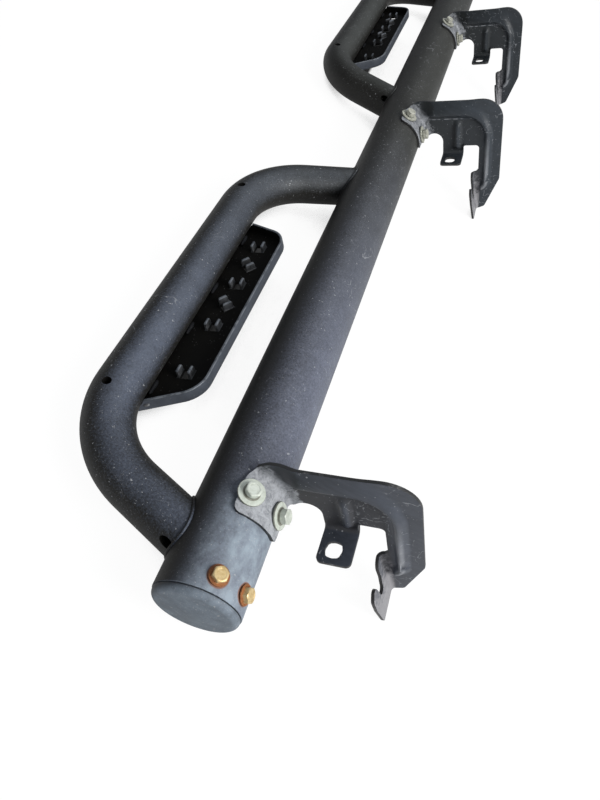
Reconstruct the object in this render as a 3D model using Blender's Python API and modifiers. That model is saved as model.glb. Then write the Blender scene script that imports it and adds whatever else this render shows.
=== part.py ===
"""Hoop-step running board for a pickup truck, lying on its tread side with its underside up.

A long round main tube carries two bent drop hoops, each with a stamped tread pan, and three
stamped brackets that bolt it to the vehicle. X points to the vehicle side, Y runs along the
tube, Z is up. The origin is the middle of the footprint, on the ground. Lengths are in metres.
"""

import math

import bmesh
import bpy
from mathutils import Matrix, Vector

# ---------------------------------------------------------------- driving dimensions, metres
SEAT_GAP = 0.0003               # gap that two touching pieces keep

TUBE_LENGTH = 1.510
TUBE_RADIUS = 0.0381
TUBE_WALL = 0.0025

CAP_RADIUS = 0.0373
CAP_RIM = 0.0068                # length of the cap that stands outside the tube
CAP_DOME = 0.0022
CAP_EDGE_RADIUS = 0.0055
CAP_SKIRT = 0.032
CAP_WALL = 0.003
CAP_BOLT_INSET = 0.014          # from the tube's end

HOOP_RADIUS = 0.0254
HOOP_WALL = 0.0025
HOOP_SPAN = 0.594               # between the two leg bases, on the tube's axis
HOOP_REACH = 0.154              # tube axis to hoop axis
HOOP_LEG_SLANT = 0.0675         # how far a leg leans along the tube over the reach
HOOP_BEND_RADIUS = 0.105
HOOP_INSET = 0.039              # first leg base, from the tube's end
HOOP_DROOP = math.radians(7.9)  # hoop plane below level, in this lying pose
DRAIN_RADIUS = 0.004
DRAIN_FROM_CENTRE = 0.178       # along the hoop, to each bend
VENT_RADIUS = 0.004
VENT_REACH = 0.034              # from the tube's axis, at the weld
VENT_RISE = math.radians(33)    # above the hoop's plane
WELD_RADIUS = 0.002

TREAD_CLOCK = math.radians(25.8)   # the tread is level when the brackets are
TREAD_THICKNESS = 0.003
TREAD_RIM_HEIGHT = 0.015
TREAD_WIDTH = 0.0755            # hoop axis to the outside of the rim
TREAD_HEEL = 0.012              # how far the pan reaches past the hoop axis
TREAD_HALF_LENGTH = 0.168       # at the hoop axis
TREAD_SHIFT = -0.008            # middle of the pan, from the middle of the hoop
TREAD_END_LEAN = 0.44           # ends run parallel to the hoop's legs
TREAD_CORNER_RADIUS = 0.032
TREAD_FOLD_RADIUS = 0.004
TREAD_HEEL_CORNER = 1.5 * TREAD_FOLD_RADIUS    # rounding of the pan's two heel corners
TREAD_HEEL_EASE = 0.5           # share of an inset that comes off that radius
TREAD_CLEAR = 0.8               # how far out the rim is open for the hoop, against its radius
TREAD_WELD_RADIUS = 0.0033
TREAD_WELD_LENGTH = 0.020
TREAD_WELD_TAPER = ((1.0, 0.35), (0.8, 0.8), (0.5, 1.0))   # share of the half length: thickness
TREAD_WELD_PLACES = (-0.139, -0.047, 0.025, 0.124)

CLEAT_PITCH = 0.0372
CLEAT_ROW = 0.0425              # hoop axis to the row of cleats
CLEAT_SHIFT = -0.0025           # middle of the row, from the middle of the hoop
CLEAT_OPENING = 0.0135
CLEAT_TAB_LENGTH = 0.012
CLEAT_TAB_HEIGHT = 0.009
CLEAT_TAB_THICKNESS = 0.0026
CLEAT_TAB_SLOPE = (0.003, 0.004)   # taken off each upper corner
CLEAT_STEPS = {-3: 0, -1: 0, 0: -45, 1: 0, 2: -45, 3: 0}   # place in the row: turn in degrees

BRACKET_PLACES = {"front": 0.109, "middle": 0.803, "rear": 1.202}   # plate, from the tube's end
BRACKET_CLOCK = math.radians(25.8)
BRACKET_SHEET = 0.0032
BRACKET_FOLD_RADIUS = 0.004     # inside of a fold
BRACKET_REACH = 0.1585          # tube axis to the outer edge
BRACKET_TOP = 0.0465            # tube axis to the arm's top edge
BRACKET_CORNER_RADIUS = 0.032
BRACKET_FOOT_DROP = 0.131       # tube axis to the foot's lower edge
BRACKET_CHAMFER = (0.079, 0.021, 0.127)   # upper drop, width at the foot, lower drop
BRACKET_CHAMFER_RADII = (0.004, 0.006)    # rounding of its upper and lower corner
LEG_WIDTH = 0.033
LEG_NOTCH_TOP = -0.0235
LEG_NOTCH_RADII = (0.005, 0.003)    # rounding at the leg, and at the tab
TAB_OFFSET = 0.0007             # tab's middle, from midway between the saddle's root and the leg
TAB_WIDTH = 0.0315
TAB_DROP = 0.035                # tube axis to the tab flange's upper face
TAB_LENGTH = 0.0355
TAB_CORNER_RADIUS = 0.005
TAB_HOLE = (0.015, 0.0165)
TAB_HOLE_CENTRE = (0.0135, 0.022)   # from the tab's left edge, and from the plate
TAB_HOLE_CORNER = 0.004
ARM_NOTCH_BITE = 0.00105        # how much wider the arm's notch is than half its gap
ARM_NOTCH_TOP = -0.003
NOTCH_SWEEP = 138               # degrees of the notch's arc, from the tab to the saddle
NOTCH_STEPS = 6
SHOULDER = (0.032, 0.0465, 0.014)   # where the arm meets the saddle: across, up, radius
SADDLE_LENGTH = 0.042
SADDLE_START = math.radians(20.5)   # round the tube, from the bracket's upright
SADDLE_END = math.radians(101.0)
SADDLE_CORNER = 0.007
FOOT_INSET = 0.0333             # bracket's outer edge to the foot's outer face, at its lower edge
FOOT_HEIGHT = 0.064
FOOT_TILT = math.radians(6.5)   # the foot leans to the tube as it rises
HOOK_REACH = 0.040
HOOK_LOBE = (0.0125, 0.061, 0.044)      # reach, upper corner, lower corner
HOOK_LOBE_RADII = (0.010, 0.006)
HOOK_SLOT_CENTRE = (-0.0195, 0.0325)
HOOK_SLOT_RADIUS = 0.0045
HOOK_SLOT_STEPS = 5
HOOK_FINGER = (                 # from the slot round the tip to the foot: along, up, radius
    (-0.0275, 0.049, 0.003),
    (-0.032, 0.0535, 0.004),
    (-HOOK_REACH, 0.046, 0.006),
    (-HOOK_REACH, 0.030, 0.015),
    (-0.035, 0, 0.002),
)
RIB_HALF_WIDTH = 0.0085
RIB_HEIGHT = 0.0055
RIB_LEVEL = 0.027               # tube axis to the arm's rib
RIB_INSET = 0.021               # bracket's outer edge to the leg's rib
RIB_BEND = 0.038
RIB_BEND_STEPS = 4
RIB_FOOT = -0.097               # lower end of the leg's rib
WEB_RIB_HALF_WIDTH = 0.007
WEB_RIB_HEIGHT = 0.004
WEB_RIB_INSET = 0.022           # tab's left edge to the web's rib
WEB_RIB_FOOT = -0.028
RIB_NOSE = ((0.92, 0.4), (0.55, 0.85))   # near a rib's end: half widths past its line, and width
GROOVE_SCALE = 0.74             # width of a rib's hollow back, against its front
RIB_BITE = 0.0004               # a rib's axis lies this far behind the face that it stands on
LAP = 0.001                     # how far a flange reaches into the plate

BOLT_SHANK_RADIUS = 0.004
BOLT_HEAD_FLATS = 0.013
BOLT_HEAD_HEIGHT = 0.0055
BOLT_FACE_HEIGHT = 0.0016       # the washer face or flange under a head
BOLT_LENGTH = 0.022
FACE_RIM_SHARE = 0.6            # upright part of the washer face, against its height
HEAD_CHAMFER_SHARE = 0.18       # chamfered part of a head, against its height
HEAD_TOP_SHARE = 0.46           # radius of a head's flat top, against its width over flats
CAP_BOLT_FLATS = 0.0118
CAP_BOLT_HEAD_HEIGHT = 0.0045
CAP_BOLT_FLANGE_RADIUS = 0.0085
BOLT_HOLE_CLEARANCE = 0.0007
BRACKET_BOLT_INSET = 0.022      # from the plate
BRACKET_BOLT_ANGLES = (math.radians(33.1), math.radians(81.8))
CAP_BOLT_ANGLES = (math.radians(10.5), math.radians(55.0))   # from upright, in the lying pose
WASHER_RADIUS = 0.0122
WASHER_THICKNESS = 0.002
NUT_HEIGHT = 0.0065

TUBE_SIDES = 36
HOOP_SIDES = 20
ROUND_SIDES = 12
WASHER_SIDES = 16
HOLE_SIDES = 8
RIB_SIDES = 8
NUT_SIDES = 6
TREAD_WELD_SIDES = 6
HOOP_WELD_SIDES = 4
BEND_STEPS = 6
FOLD_STEPS = 3
EDGE_STEPS = 2
PAN_CORNER_STEPS = 4
SADDLE_ROWS = 8
ROUNDING_STEP = 0.008           # a rounded corner gets one more step for each of these
LEAST_STEPS = 2                 # steps of the smallest rounded corner
MERGE_DISTANCE = 0.00001        # points nearer than this are one point
SHARP_ANGLE = math.radians(35)  # faces that meet at less are shaded as one
EMPTY_SIZE = 0.05               # drawn size of an assembly frame

FINISHES = {                    # colour, roughness, metallic
    "powder_coat": ((0.055, 0.057, 0.063), 0.6, 0.1),
    "bracket_coat": ((0.035, 0.038, 0.042), 0.45, 0.1),
    "pan_coat": ((0.03, 0.03, 0.033), 0.55, 0.1),
    "zinc": ((0.58, 0.62, 0.55), 0.45, 0.6),
    "yellow_zinc": ((0.55, 0.38, 0.16), 0.45, 0.7),
    "plain_steel": ((0.3, 0.3, 0.3), 0.4, 0.9),
    "cap_coat": ((0.045, 0.046, 0.05), 0.5, 0.1),
}

# ---------------------------------------------------------------- worked-out sizes
HOLE_RADIUS = BOLT_SHANK_RADIUS + BOLT_HOLE_CLEARANCE
TUBE_BORE = TUBE_RADIUS - TUBE_WALL
SADDLE_INSIDE = TUBE_RADIUS + SEAT_GAP
SADDLE_OUTSIDE = SADDLE_INSIDE + BRACKET_SHEET
CAP_SKIRT_RADIUS = TUBE_BORE - SEAT_GAP
TREAD_INSIDE = -(HOOP_RADIUS + SEAT_GAP)        # the pan's floor lies against the hoop
TREAD_OUTSIDE = TREAD_INSIDE - TREAD_THICKNESS
TREAD_RIM_EDGE = TREAD_OUTSIDE + TREAD_RIM_HEIGHT
PAN_TURN = TREAD_FOLD_RADIUS * (1 - math.cos(math.pi / 4))      # halfway round the pan's fold
OUTER_FOLD = BRACKET_FOLD_RADIUS + BRACKET_SHEET
SADDLE_ROOT = SADDLE_OUTSIDE + BRACKET_FOLD_RADIUS             # where the plate begins
LEG_EDGE = BRACKET_REACH - LEG_WIDTH            # the next six are places across, from the tube's axis
FOOT_LINE = BRACKET_REACH - FOOT_INSET
RIB_LEG = BRACKET_REACH - RIB_INSET
TAB_LEFT = (SADDLE_ROOT + LEG_EDGE - TAB_WIDTH) / 2 + TAB_OFFSET
TAB_RIGHT = TAB_LEFT + TAB_WIDTH
WEB_RIB_LINE = TAB_LEFT + WEB_RIB_INSET
ARM_NOTCH_RADIUS = (TAB_LEFT - SADDLE_ROOT) / 2 + ARM_NOTCH_BITE


# ---------------------------------------------------------------- scene helpers
def clear_scene():
    """Remove every object that the file starts with."""
    for item in list(bpy.data.objects):
        bpy.data.objects.remove(item, do_unlink=True)


def new_collection(name):
    """Make a collection under the scene."""
    collection = bpy.data.collections.new(name)
    bpy.context.scene.collection.children.link(collection)
    return collection


def new_material(name):
    """Make the Principled material of a named finish."""
    colour, roughness, metallic = FINISHES[name]
    material = bpy.data.materials.new(name)
    material.use_nodes = True
    shader = material.node_tree.nodes["Principled BSDF"]
    shader.inputs["Base Color"].default_value = (*colour, 1.0)
    shader.inputs["Roughness"].default_value = roughness
    shader.inputs["Metallic"].default_value = metallic
    material.diffuse_color = (*colour, 1.0)
    return material


def new_empty(name, parent=None, location=(0, 0, 0), turn=0.0):
    """Make an empty whose frame is turned about Y, from +X towards +Z."""
    empty = bpy.data.objects.new(name, None)
    empty.empty_display_size = EMPTY_SIZE
    PARTS.objects.link(empty)
    empty.parent = parent
    empty.location = location
    empty.rotation_euler = (0, -turn, 0)
    return empty


def place(name, mesh, parent, material, location=(0, 0, 0), rotation=(0, 0, 0)):
    """Put a mesh in the scene as a named part of the board."""
    mesh.materials.clear()
    mesh.materials.append(material)
    mesh.shade_smooth()
    mesh.set_sharp_from_angle(angle=SHARP_ANGLE)
    part = bpy.data.objects.new(name, mesh)
    PARTS.objects.link(part)
    part.parent = parent
    part.location = location
    part.rotation_euler = rotation
    return part


def tool(name, mesh):
    """Hold a mesh that is joined to, or cut from, a part."""
    item = bpy.data.objects.new(name, mesh)
    TOOLS.objects.link(item)
    item.hide_render = True
    item.display_type = "WIRE"
    return item


def shape(blank, joined=(), cut=(), kept=()):
    """Join, cut and intersect a mesh with others, and return the finished mesh."""
    body = tool("blank", blank)
    steps = [("UNION", joined), ("DIFFERENCE", cut), ("INTERSECT", kept)]
    for operation, meshes in steps:
        for mesh in meshes:
            modifier = body.modifiers.new(operation.title(), "BOOLEAN")
            modifier.operation = operation
            modifier.solver = "EXACT"
            modifier.object = tool(operation.lower(), mesh)
    finished = bpy.data.meshes.new_from_object(evaluated(body))
    for item in list(TOOLS.objects):
        bpy.data.objects.remove(item, do_unlink=True)
    return finished


def evaluated(item):
    """Return an object as the viewport sees it."""
    bpy.context.view_layer.update()
    return item.evaluated_get(bpy.context.evaluated_depsgraph_get())


def weld(mesh):
    """Merge a mesh's doubled points and turn its faces outwards."""
    work = bmesh.new()
    work.from_mesh(mesh)
    bmesh.ops.remove_doubles(work, verts=work.verts, dist=MERGE_DISTANCE)
    bmesh.ops.recalc_face_normals(work, faces=work.faces)
    work.to_mesh(mesh)
    work.free()
    return mesh


def from_curve(curve):
    """Turn curve data into a closed mesh and remove the curve."""
    item = bpy.data.objects.new("guide", curve)
    TOOLS.objects.link(item)
    mesh = weld(bpy.data.meshes.new_from_object(evaluated(item)))
    bpy.data.objects.remove(item, do_unlink=True)
    bpy.data.curves.remove(curve)
    return mesh


# ---------------------------------------------------------------- shape helpers
def arc(centre, radius, start, end, steps):
    """Points along an arc; angles in degrees, from the first axis to the second."""
    angles = [math.radians(start + (end - start) * step / steps) for step in range(steps + 1)]
    return [(centre[0] + radius * math.cos(a), centre[1] + radius * math.sin(a)) for a in angles]


def rounded(corners, fixed_steps=0):
    """Round a closed outline; each corner is (x, y, radius), and a wide one gets more steps."""
    points = []
    for index, (x, y, radius) in enumerate(corners):
        corner = Vector((x, y))
        back = (Vector(corners[index - 1][:2]) - corner).normalized()
        ahead = (Vector(corners[(index + 1) % len(corners)][:2]) - corner).normalized()
        if radius == 0:
            points.append((x, y))
            continue
        half = back.angle(ahead) / 2
        middle = corner + (back + ahead).normalized() * radius / math.sin(half)
        first = corner + back * radius / math.tan(half) - middle
        sweep = first.angle_signed(corner + ahead * radius / math.tan(half) - middle)
        steps = fixed_steps or LEAST_STEPS + int(radius / ROUNDING_STEP)
        for step in range(steps + 1):
            spoke = Matrix.Rotation(-sweep * step / steps, 2) @ first
            points.append(tuple(middle + spoke))
    return points


def prism(outlines, low, high, plane="XZ"):
    """Extrude flat outlines; later ones inside the first are holes.

    The plane names the two axes of the outline, and low and high lie on the third axis.
    """
    curve = bpy.data.curves.new("outline", "CURVE")
    curve.dimensions = "2D"
    curve.fill_mode = "BOTH"
    curve.extrude = (high - low) / 2
    for outline in outlines:
        spline = curve.splines.new("POLY")
        spline.points.add(len(outline) - 1)
        for point, (x, y) in zip(spline.points, outline):
            point.co = (x, y, 0, 1)
        spline.use_cyclic_u = True
    mesh = from_curve(curve)
    middle = (high + low) / 2
    rows = {
        "XY": ((1, 0, 0, 0), (0, 1, 0, 0), (0, 0, 1, middle)),
        "XZ": ((1, 0, 0, 0), (0, 0, -1, middle), (0, 1, 0, 0)),
        "YZ": ((0, 0, 1, middle), (1, 0, 0, 0), (0, 1, 0, 0)),
    }[plane]
    mesh.transform(Matrix((*rows, (0, 0, 0, 1))))
    return mesh


def sweep(points, radius, sides, scales=None, closed=False):
    """Carry a circle along a path of points; scales narrow it point by point."""
    curve = bpy.data.curves.new("path", "CURVE")
    curve.dimensions = "3D"
    curve.bevel_depth = radius
    curve.bevel_resolution = sides // 2 - 2
    curve.use_fill_caps = True
    spline = curve.splines.new("POLY")
    spline.points.add(len(points) - 1)
    for index, (point, place_on_path) in enumerate(zip(spline.points, points)):
        point.co = (*place_on_path, 1)
        point.radius = scales[index] if scales else 1.0
    spline.use_cyclic_u = closed
    return from_curve(curve)


def turned(profile, sides):
    """Revolve a profile of (radius, height) about Z; it runs down its outer side."""
    mesh = bpy.data.meshes.new("profile")
    points = [(radius, 0, height) for radius, height in profile]
    edges = [(index, index + 1) for index in range(len(points) - 1)]
    if profile[0][0] > 0:
        edges.append((len(points) - 1, 0))
    mesh.from_pydata(points, edges, [])
    body = tool("profile", mesh)
    screw = body.modifiers.new("Screw", "SCREW")
    screw.steps = sides
    screw.render_steps = sides
    screw.use_merge_vertices = True
    screw.merge_threshold = MERGE_DISTANCE
    finished = weld(bpy.data.meshes.new_from_object(evaluated(body)))
    bpy.data.objects.remove(body, do_unlink=True)
    return finished


def rod(radius, start, end, sides=ROUND_SIDES):
    """A plain cylinder from one point to another."""
    return sweep([start, end], radius, sides)


def stacked(rings):
    """Skin a stack of rings that have equally many points, and close both ends."""
    work = bmesh.new()
    layers = [[work.verts.new(point) for point in ring] for ring in rings]
    count = len(rings[0])
    for lower, upper in zip(layers, layers[1:]):
        for index in range(count):
            following = (index + 1) % count
            work.faces.new((lower[index], lower[following], upper[following], upper[index]))
    work.faces.new(reversed(layers[0]))
    work.faces.new(layers[-1])
    bmesh.ops.recalc_face_normals(work, faces=work.faces)
    mesh = bpy.data.meshes.new("stack")
    work.to_mesh(mesh)
    work.free()
    return mesh


def moved(mesh, matrix):
    """Return a moved copy of a mesh."""
    copy = mesh.copy()
    copy.transform(matrix)
    return copy


# ---------------------------------------------------------------- round the main tube
def along(distance):
    """Turn a distance from the tube's front end into a Y place."""
    return distance - TUBE_LENGTH / 2


def radial(angle, y, radius=0.0):
    """A frame on the tube whose Z points outwards; the angle runs from +Z to +X."""
    outward = Vector((math.sin(angle), 0, math.cos(angle)))
    frame = Matrix.Rotation(angle, 4, "Y")
    return Matrix.Translation(outward * radius + Vector((0, y, 0))) @ frame


def radial_holes(angles, y, low, high):
    """Bolt-hole cutters through a wall between two radii."""
    pin = rod(HOLE_RADIUS, (0, 0, low), (0, 0, high), HOLE_SIDES)
    return [moved(pin, radial(angle, y)) for angle in angles]


def main_tube():
    """The long hollow tube, drilled for the bracket bolts and the cap bolts."""
    half = TUBE_LENGTH / 2
    profile = [(TUBE_RADIUS, half), (TUBE_RADIUS, -half), (TUBE_BORE, -half), (TUBE_BORE, half)]
    blank = turned(profile, TUBE_SIDES)
    blank.transform(Matrix.Rotation(-math.pi / 2, 4, "X"))
    low = TUBE_BORE - TUBE_WALL
    high = TUBE_RADIUS + TUBE_WALL
    holes = []
    for place_along in BRACKET_PLACES.values():
        angles = [angle - BRACKET_CLOCK for angle in BRACKET_BOLT_ANGLES]
        holes += radial_holes(angles, along(place_along - BRACKET_BOLT_INSET), low, high)
    for place_along in (CAP_BOLT_INSET, TUBE_LENGTH - CAP_BOLT_INSET):
        holes += radial_holes(CAP_BOLT_ANGLES, along(place_along), low, high)
    return shape(blank, cut=holes)


def end_cap():
    """A turned cap: a domed face, a rim as wide as the tube and a skirt inside it.

    The tube's end is at zero and the skirt runs towards +Y.
    """
    face = -CAP_RIM - CAP_DOME
    edge_centre = (CAP_RADIUS - CAP_EDGE_RADIUS, CAP_EDGE_RADIUS - CAP_RIM)
    inside = CAP_SKIRT_RADIUS - CAP_WALL
    profile = [(0, face)] + arc(edge_centre, CAP_EDGE_RADIUS, 270, 360, EDGE_STEPS)
    profile += [(CAP_RADIUS, -SEAT_GAP), (CAP_SKIRT_RADIUS, -SEAT_GAP), (CAP_SKIRT_RADIUS, CAP_SKIRT)]
    profile += [(inside, CAP_SKIRT), (inside, CAP_WALL - CAP_RIM), (0, CAP_WALL - CAP_RIM)]
    blank = turned(profile, TUBE_SIDES)
    blank.transform(Matrix.Rotation(-math.pi / 2, 4, "X"))
    holes = radial_holes(CAP_BOLT_ANGLES, CAP_BOLT_INSET, inside - CAP_WALL, TUBE_RADIUS)
    return shape(blank, cut=holes)


# ---------------------------------------------------------------- fasteners
def hex_ring(flats, height):
    """Twelve points round a hexagon."""
    corner = flats / 2 / math.cos(math.pi / 6)
    radii = [corner if index % 2 == 0 else flats / 2 for index in range(ROUND_SIDES)]
    return [polar(radius, index, height) for index, radius in enumerate(radii)]


def round_ring(radius, height):
    """Twelve points round a circle."""
    return [polar(radius, index, height) for index in range(ROUND_SIDES)]


def polar(radius, index, height):
    """One of twelve places round a ring."""
    angle = 2 * math.pi * index / ROUND_SIDES
    return (radius * math.cos(angle), radius * math.sin(angle), height)


def hex_bolt(flats, head_height, flange_radius):
    """A hexagon bolt with its seat at zero and its shank down -Z."""
    top = BOLT_FACE_HEIGHT + head_height
    return stacked([
        round_ring(BOLT_SHANK_RADIUS, -BOLT_LENGTH),
        round_ring(BOLT_SHANK_RADIUS, 0),
        round_ring(flange_radius, 0),
        round_ring(flange_radius, BOLT_FACE_HEIGHT * FACE_RIM_SHARE),
        hex_ring(flats, BOLT_FACE_HEIGHT),
        hex_ring(flats, top - head_height * HEAD_CHAMFER_SHARE),
        round_ring(flats * HEAD_TOP_SHARE, top),
    ])


def washer():
    """A flat washer standing on zero."""
    rim = [(WASHER_RADIUS, WASHER_THICKNESS), (WASHER_RADIUS, 0), (HOLE_RADIUS, 0)]
    return turned(rim + [(HOLE_RADIUS, WASHER_THICKNESS)], WASHER_SIDES)


def weld_nut():
    """A hexagon nut with its outer face at zero and its body down -Z."""
    corner = BOLT_HEAD_FLATS / 2 / math.cos(math.pi / 6)
    bore = (BOLT_SHANK_RADIUS + SEAT_GAP) / math.cos(math.pi / 6)
    return turned([(corner, 0), (corner, -NUT_HEIGHT), (bore, -NUT_HEIGHT), (bore, 0)], NUT_SIDES)


def nut_seat(bore):
    """How far out a nut's flat face sits inside a round wall."""
    half_width = BOLT_HEAD_FLATS / 2 / math.cos(math.pi / 6)
    return math.sqrt(bore ** 2 - half_width ** 2) - SEAT_GAP


def place_round(name, mesh, parent, material, spots):
    """Place copies of a fastener round the tube; a spot is (angle, y, radius)."""
    for number, (angle, y, radius) in enumerate(spots, start=1):
        location = (radius * math.sin(angle), y, radius * math.cos(angle))
        place(f"{name}_{number}", mesh, parent, material, location, (0, angle, 0))


# ---------------------------------------------------------------- hoop
def hoop_path():
    """The hoop's centreline, from the tube's axis out to the step run and back."""
    half = HOOP_SPAN / 2
    lean = math.degrees(math.atan2(HOOP_REACH, HOOP_LEG_SLANT))
    tangent = HOOP_BEND_RADIUS * math.tan(math.radians(lean) / 2)
    centre = (-HOOP_REACH + HOOP_BEND_RADIUS, -half + HOOP_LEG_SLANT + tangent)
    bend = arc(centre, HOOP_BEND_RADIUS, 180 + lean, 180, BEND_STEPS)
    front = [(0.0, -half)] + bend
    back = [(x, -y) for x, y in reversed(front)]
    return [(x, y, 0.0) for x, y in front + back]


def hoop():
    """A bent hollow tube, coped to the main tube, with drain and vent holes."""
    path = hoop_path()
    outside = sweep(path, HOOP_RADIUS, HOOP_SIDES)
    bore = sweep(path, HOOP_RADIUS - HOOP_WALL, HOOP_SIDES // 2)
    cope = rod(TUBE_RADIUS + SEAT_GAP, (0, -HOOP_SPAN, 0), (0, HOOP_SPAN, 0), TUBE_SIDES)
    return shape(outside, cut=[bore, cope] + hoop_holes())


def hoop_holes():
    """Cutters for the drain holes in the bends and the vent holes at the leg welds."""
    low, high = HOOP_RADIUS - 3 * HOOP_WALL, HOOP_RADIUS + 3 * HOOP_WALL
    lean = math.atan2(HOOP_REACH, HOOP_LEG_SLANT)
    leg = Vector((-math.sin(lean), math.cos(lean), 0))
    base = Vector((0, -HOOP_SPAN / 2, 0)) + leg * VENT_REACH / math.sin(lean)
    sideways = Vector((-math.cos(lean), -math.sin(lean), 0))
    vent = sideways * math.cos(VENT_RISE) + Vector((0, 0, math.sin(VENT_RISE)))
    bend = Vector((-HOOP_REACH, -DRAIN_FROM_CENTRE, 0))
    drain = Vector((-math.sin(HOOP_DROOP), 0, math.cos(HOOP_DROOP)))
    holes = []
    for spot, outward, radius in ((base, vent, VENT_RADIUS), (bend, drain, DRAIN_RADIUS)):
        hole = rod(radius, spot + outward * low, spot + outward * high, HOLE_SIDES)
        holes += [hole, mirrored(hole)]
    return holes


def hoop_weld():
    """The fillet bead round the front leg, in the corner between the leg and the main tube."""
    lean = math.atan2(HOOP_REACH, HOOP_LEG_SLANT)
    offset = WELD_RADIUS + SEAT_GAP
    leg_radius = HOOP_RADIUS + offset
    tube_radius = TUBE_RADIUS + offset
    bead = []
    for step in range(HOOP_SIDES):
        turn = 2 * math.pi * step / HOOP_SIDES
        across = leg_radius * math.cos(turn)
        rise = leg_radius * math.sin(turn)
        reach = (across * math.cos(lean) + math.sqrt(tube_radius ** 2 - rise ** 2)) / math.sin(lean)
        x = -reach * math.sin(lean) + across * math.cos(lean)
        y = reach * math.cos(lean) + across * math.sin(lean)
        bead.append((x, y - HOOP_SPAN / 2, rise))
    return sweep(bead, WELD_RADIUS, HOOP_WELD_SIDES, closed=True)


# ---------------------------------------------------------------- tread
def pan_outline(inset, lift):
    """The pan's outline, drawn in by an inset, at a height above the hoop axis."""
    slope = math.hypot(1, TREAD_END_LEAN)
    wide = TREAD_WIDTH - inset
    heel = -TREAD_HEEL + inset
    half = TREAD_HALF_LENGTH - inset * slope
    toe_corner = half - TREAD_END_LEAN * wide
    heel_corner = half - TREAD_END_LEAN * heel
    corner = TREAD_CORNER_RADIUS - inset
    small = TREAD_HEEL_CORNER - inset * TREAD_HEEL_EASE
    corners = [(heel, -heel_corner, small), (wide, -toe_corner, corner)]
    corners += [(wide, toe_corner, corner), (heel, heel_corner, small)]
    return [(x, y + TREAD_SHIFT, lift) for x, y in rounded(corners, PAN_CORNER_STEPS)]


def tread_pan():
    """A pressed pan: a floor with a turned-up rim, pierced by a row of raised cleats."""
    fold = TREAD_FOLD_RADIUS
    outer = fold + TREAD_OUTSIDE
    inner = fold - TREAD_THICKNESS / 2
    shell = stacked([
        pan_outline(TREAD_THICKNESS + inner, TREAD_INSIDE),
        pan_outline(TREAD_THICKNESS, TREAD_INSIDE + inner),
        pan_outline(TREAD_THICKNESS, TREAD_RIM_EDGE),
        pan_outline(0, TREAD_RIM_EDGE),
        pan_outline(0, outer),
        pan_outline(PAN_TURN, TREAD_OUTSIDE + PAN_TURN),
        pan_outline(fold, TREAD_OUTSIDE),
    ])
    tabs = []
    openings = []
    for step, degrees in CLEAT_STEPS.items():
        spot = Matrix.Translation((CLEAT_ROW, step * CLEAT_PITCH + CLEAT_SHIFT, 0))
        spot = spot @ Matrix.Rotation(math.radians(degrees), 4, "Z")
        openings.append(moved(cleat_opening(), spot))
        tabs += [moved(tab, spot) for tab in cleat_tabs()]
    pierced = shape(shell, cut=openings + hoop_clearance())
    return shape(pierced, joined=tabs)


def cleat_opening():
    """Cutter for the square hole between a cleat's tabs."""
    half = CLEAT_OPENING / 2
    side = half - CLEAT_TAB_THICKNESS / 2 - SEAT_GAP
    outline = [(-side, -half), (side, -half), (side, half), (-side, half)]
    return prism([outline], TREAD_OUTSIDE - TREAD_THICKNESS, TREAD_INSIDE + TREAD_THICKNESS, "XY")


def cleat_tabs():
    """The two upright tabs of a cleat, with sloping ends."""
    base = TREAD_INSIDE - TREAD_THICKNESS / 2
    top = TREAD_INSIDE + CLEAT_TAB_HEIGHT
    half = CLEAT_TAB_LENGTH / 2
    shorter, lower = half - CLEAT_TAB_SLOPE[0], top - CLEAT_TAB_SLOPE[1]
    outline = [(-half, base), (half, base), (half, lower)]
    outline += [(shorter, top), (-shorter, top), (-half, lower)]
    near = (CLEAT_OPENING - CLEAT_TAB_THICKNESS) / 2
    far = near + CLEAT_TAB_THICKNESS
    return [prism([outline], near, far, "YZ"), prism([outline], -far, -near, "YZ")]


def hoop_clearance():
    """Cutters that take the rim away where the hoop tube lies in the pan."""
    path = [(x + HOOP_REACH, y, z) for x, y, z in hoop_path()]
    tube = sweep(path, HOOP_RADIUS + 2 * SEAT_GAP, HOOP_SIDES)
    tilt = TREAD_CLOCK - HOOP_DROOP
    tube.transform(Matrix.Rotation(tilt, 4, "Y"))
    length = TREAD_HALF_LENGTH + HOOP_RADIUS
    above = TREAD_INSIDE + SEAT_GAP
    edge = HOOP_RADIUS * TREAD_CLEAR
    outline = [(-HOOP_RADIUS, -length), (edge, -length), (edge, length), (-HOOP_RADIUS, length)]
    return [prism([outline], above, HOOP_RADIUS, "XY"), tube]


def tread_weld():
    """A stitch weld in the corner between the hoop tube and the pan's floor."""
    offset = TREAD_WELD_RADIUS + SEAT_GAP
    height = TREAD_INSIDE + offset
    across = math.sqrt((HOOP_RADIUS + offset) ** 2 - height ** 2)
    half = TREAD_WELD_LENGTH / 2
    first = [(-half * share, scale) for share, scale in TREAD_WELD_TAPER]
    last = [(half * share, scale) for share, scale in reversed(TREAD_WELD_TAPER)]
    path = [(across, step, height) for step, _ in first + last]
    scales = [scale for _, scale in first + last]
    return sweep(path, TREAD_WELD_RADIUS, TREAD_WELD_SIDES, scales)


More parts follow.
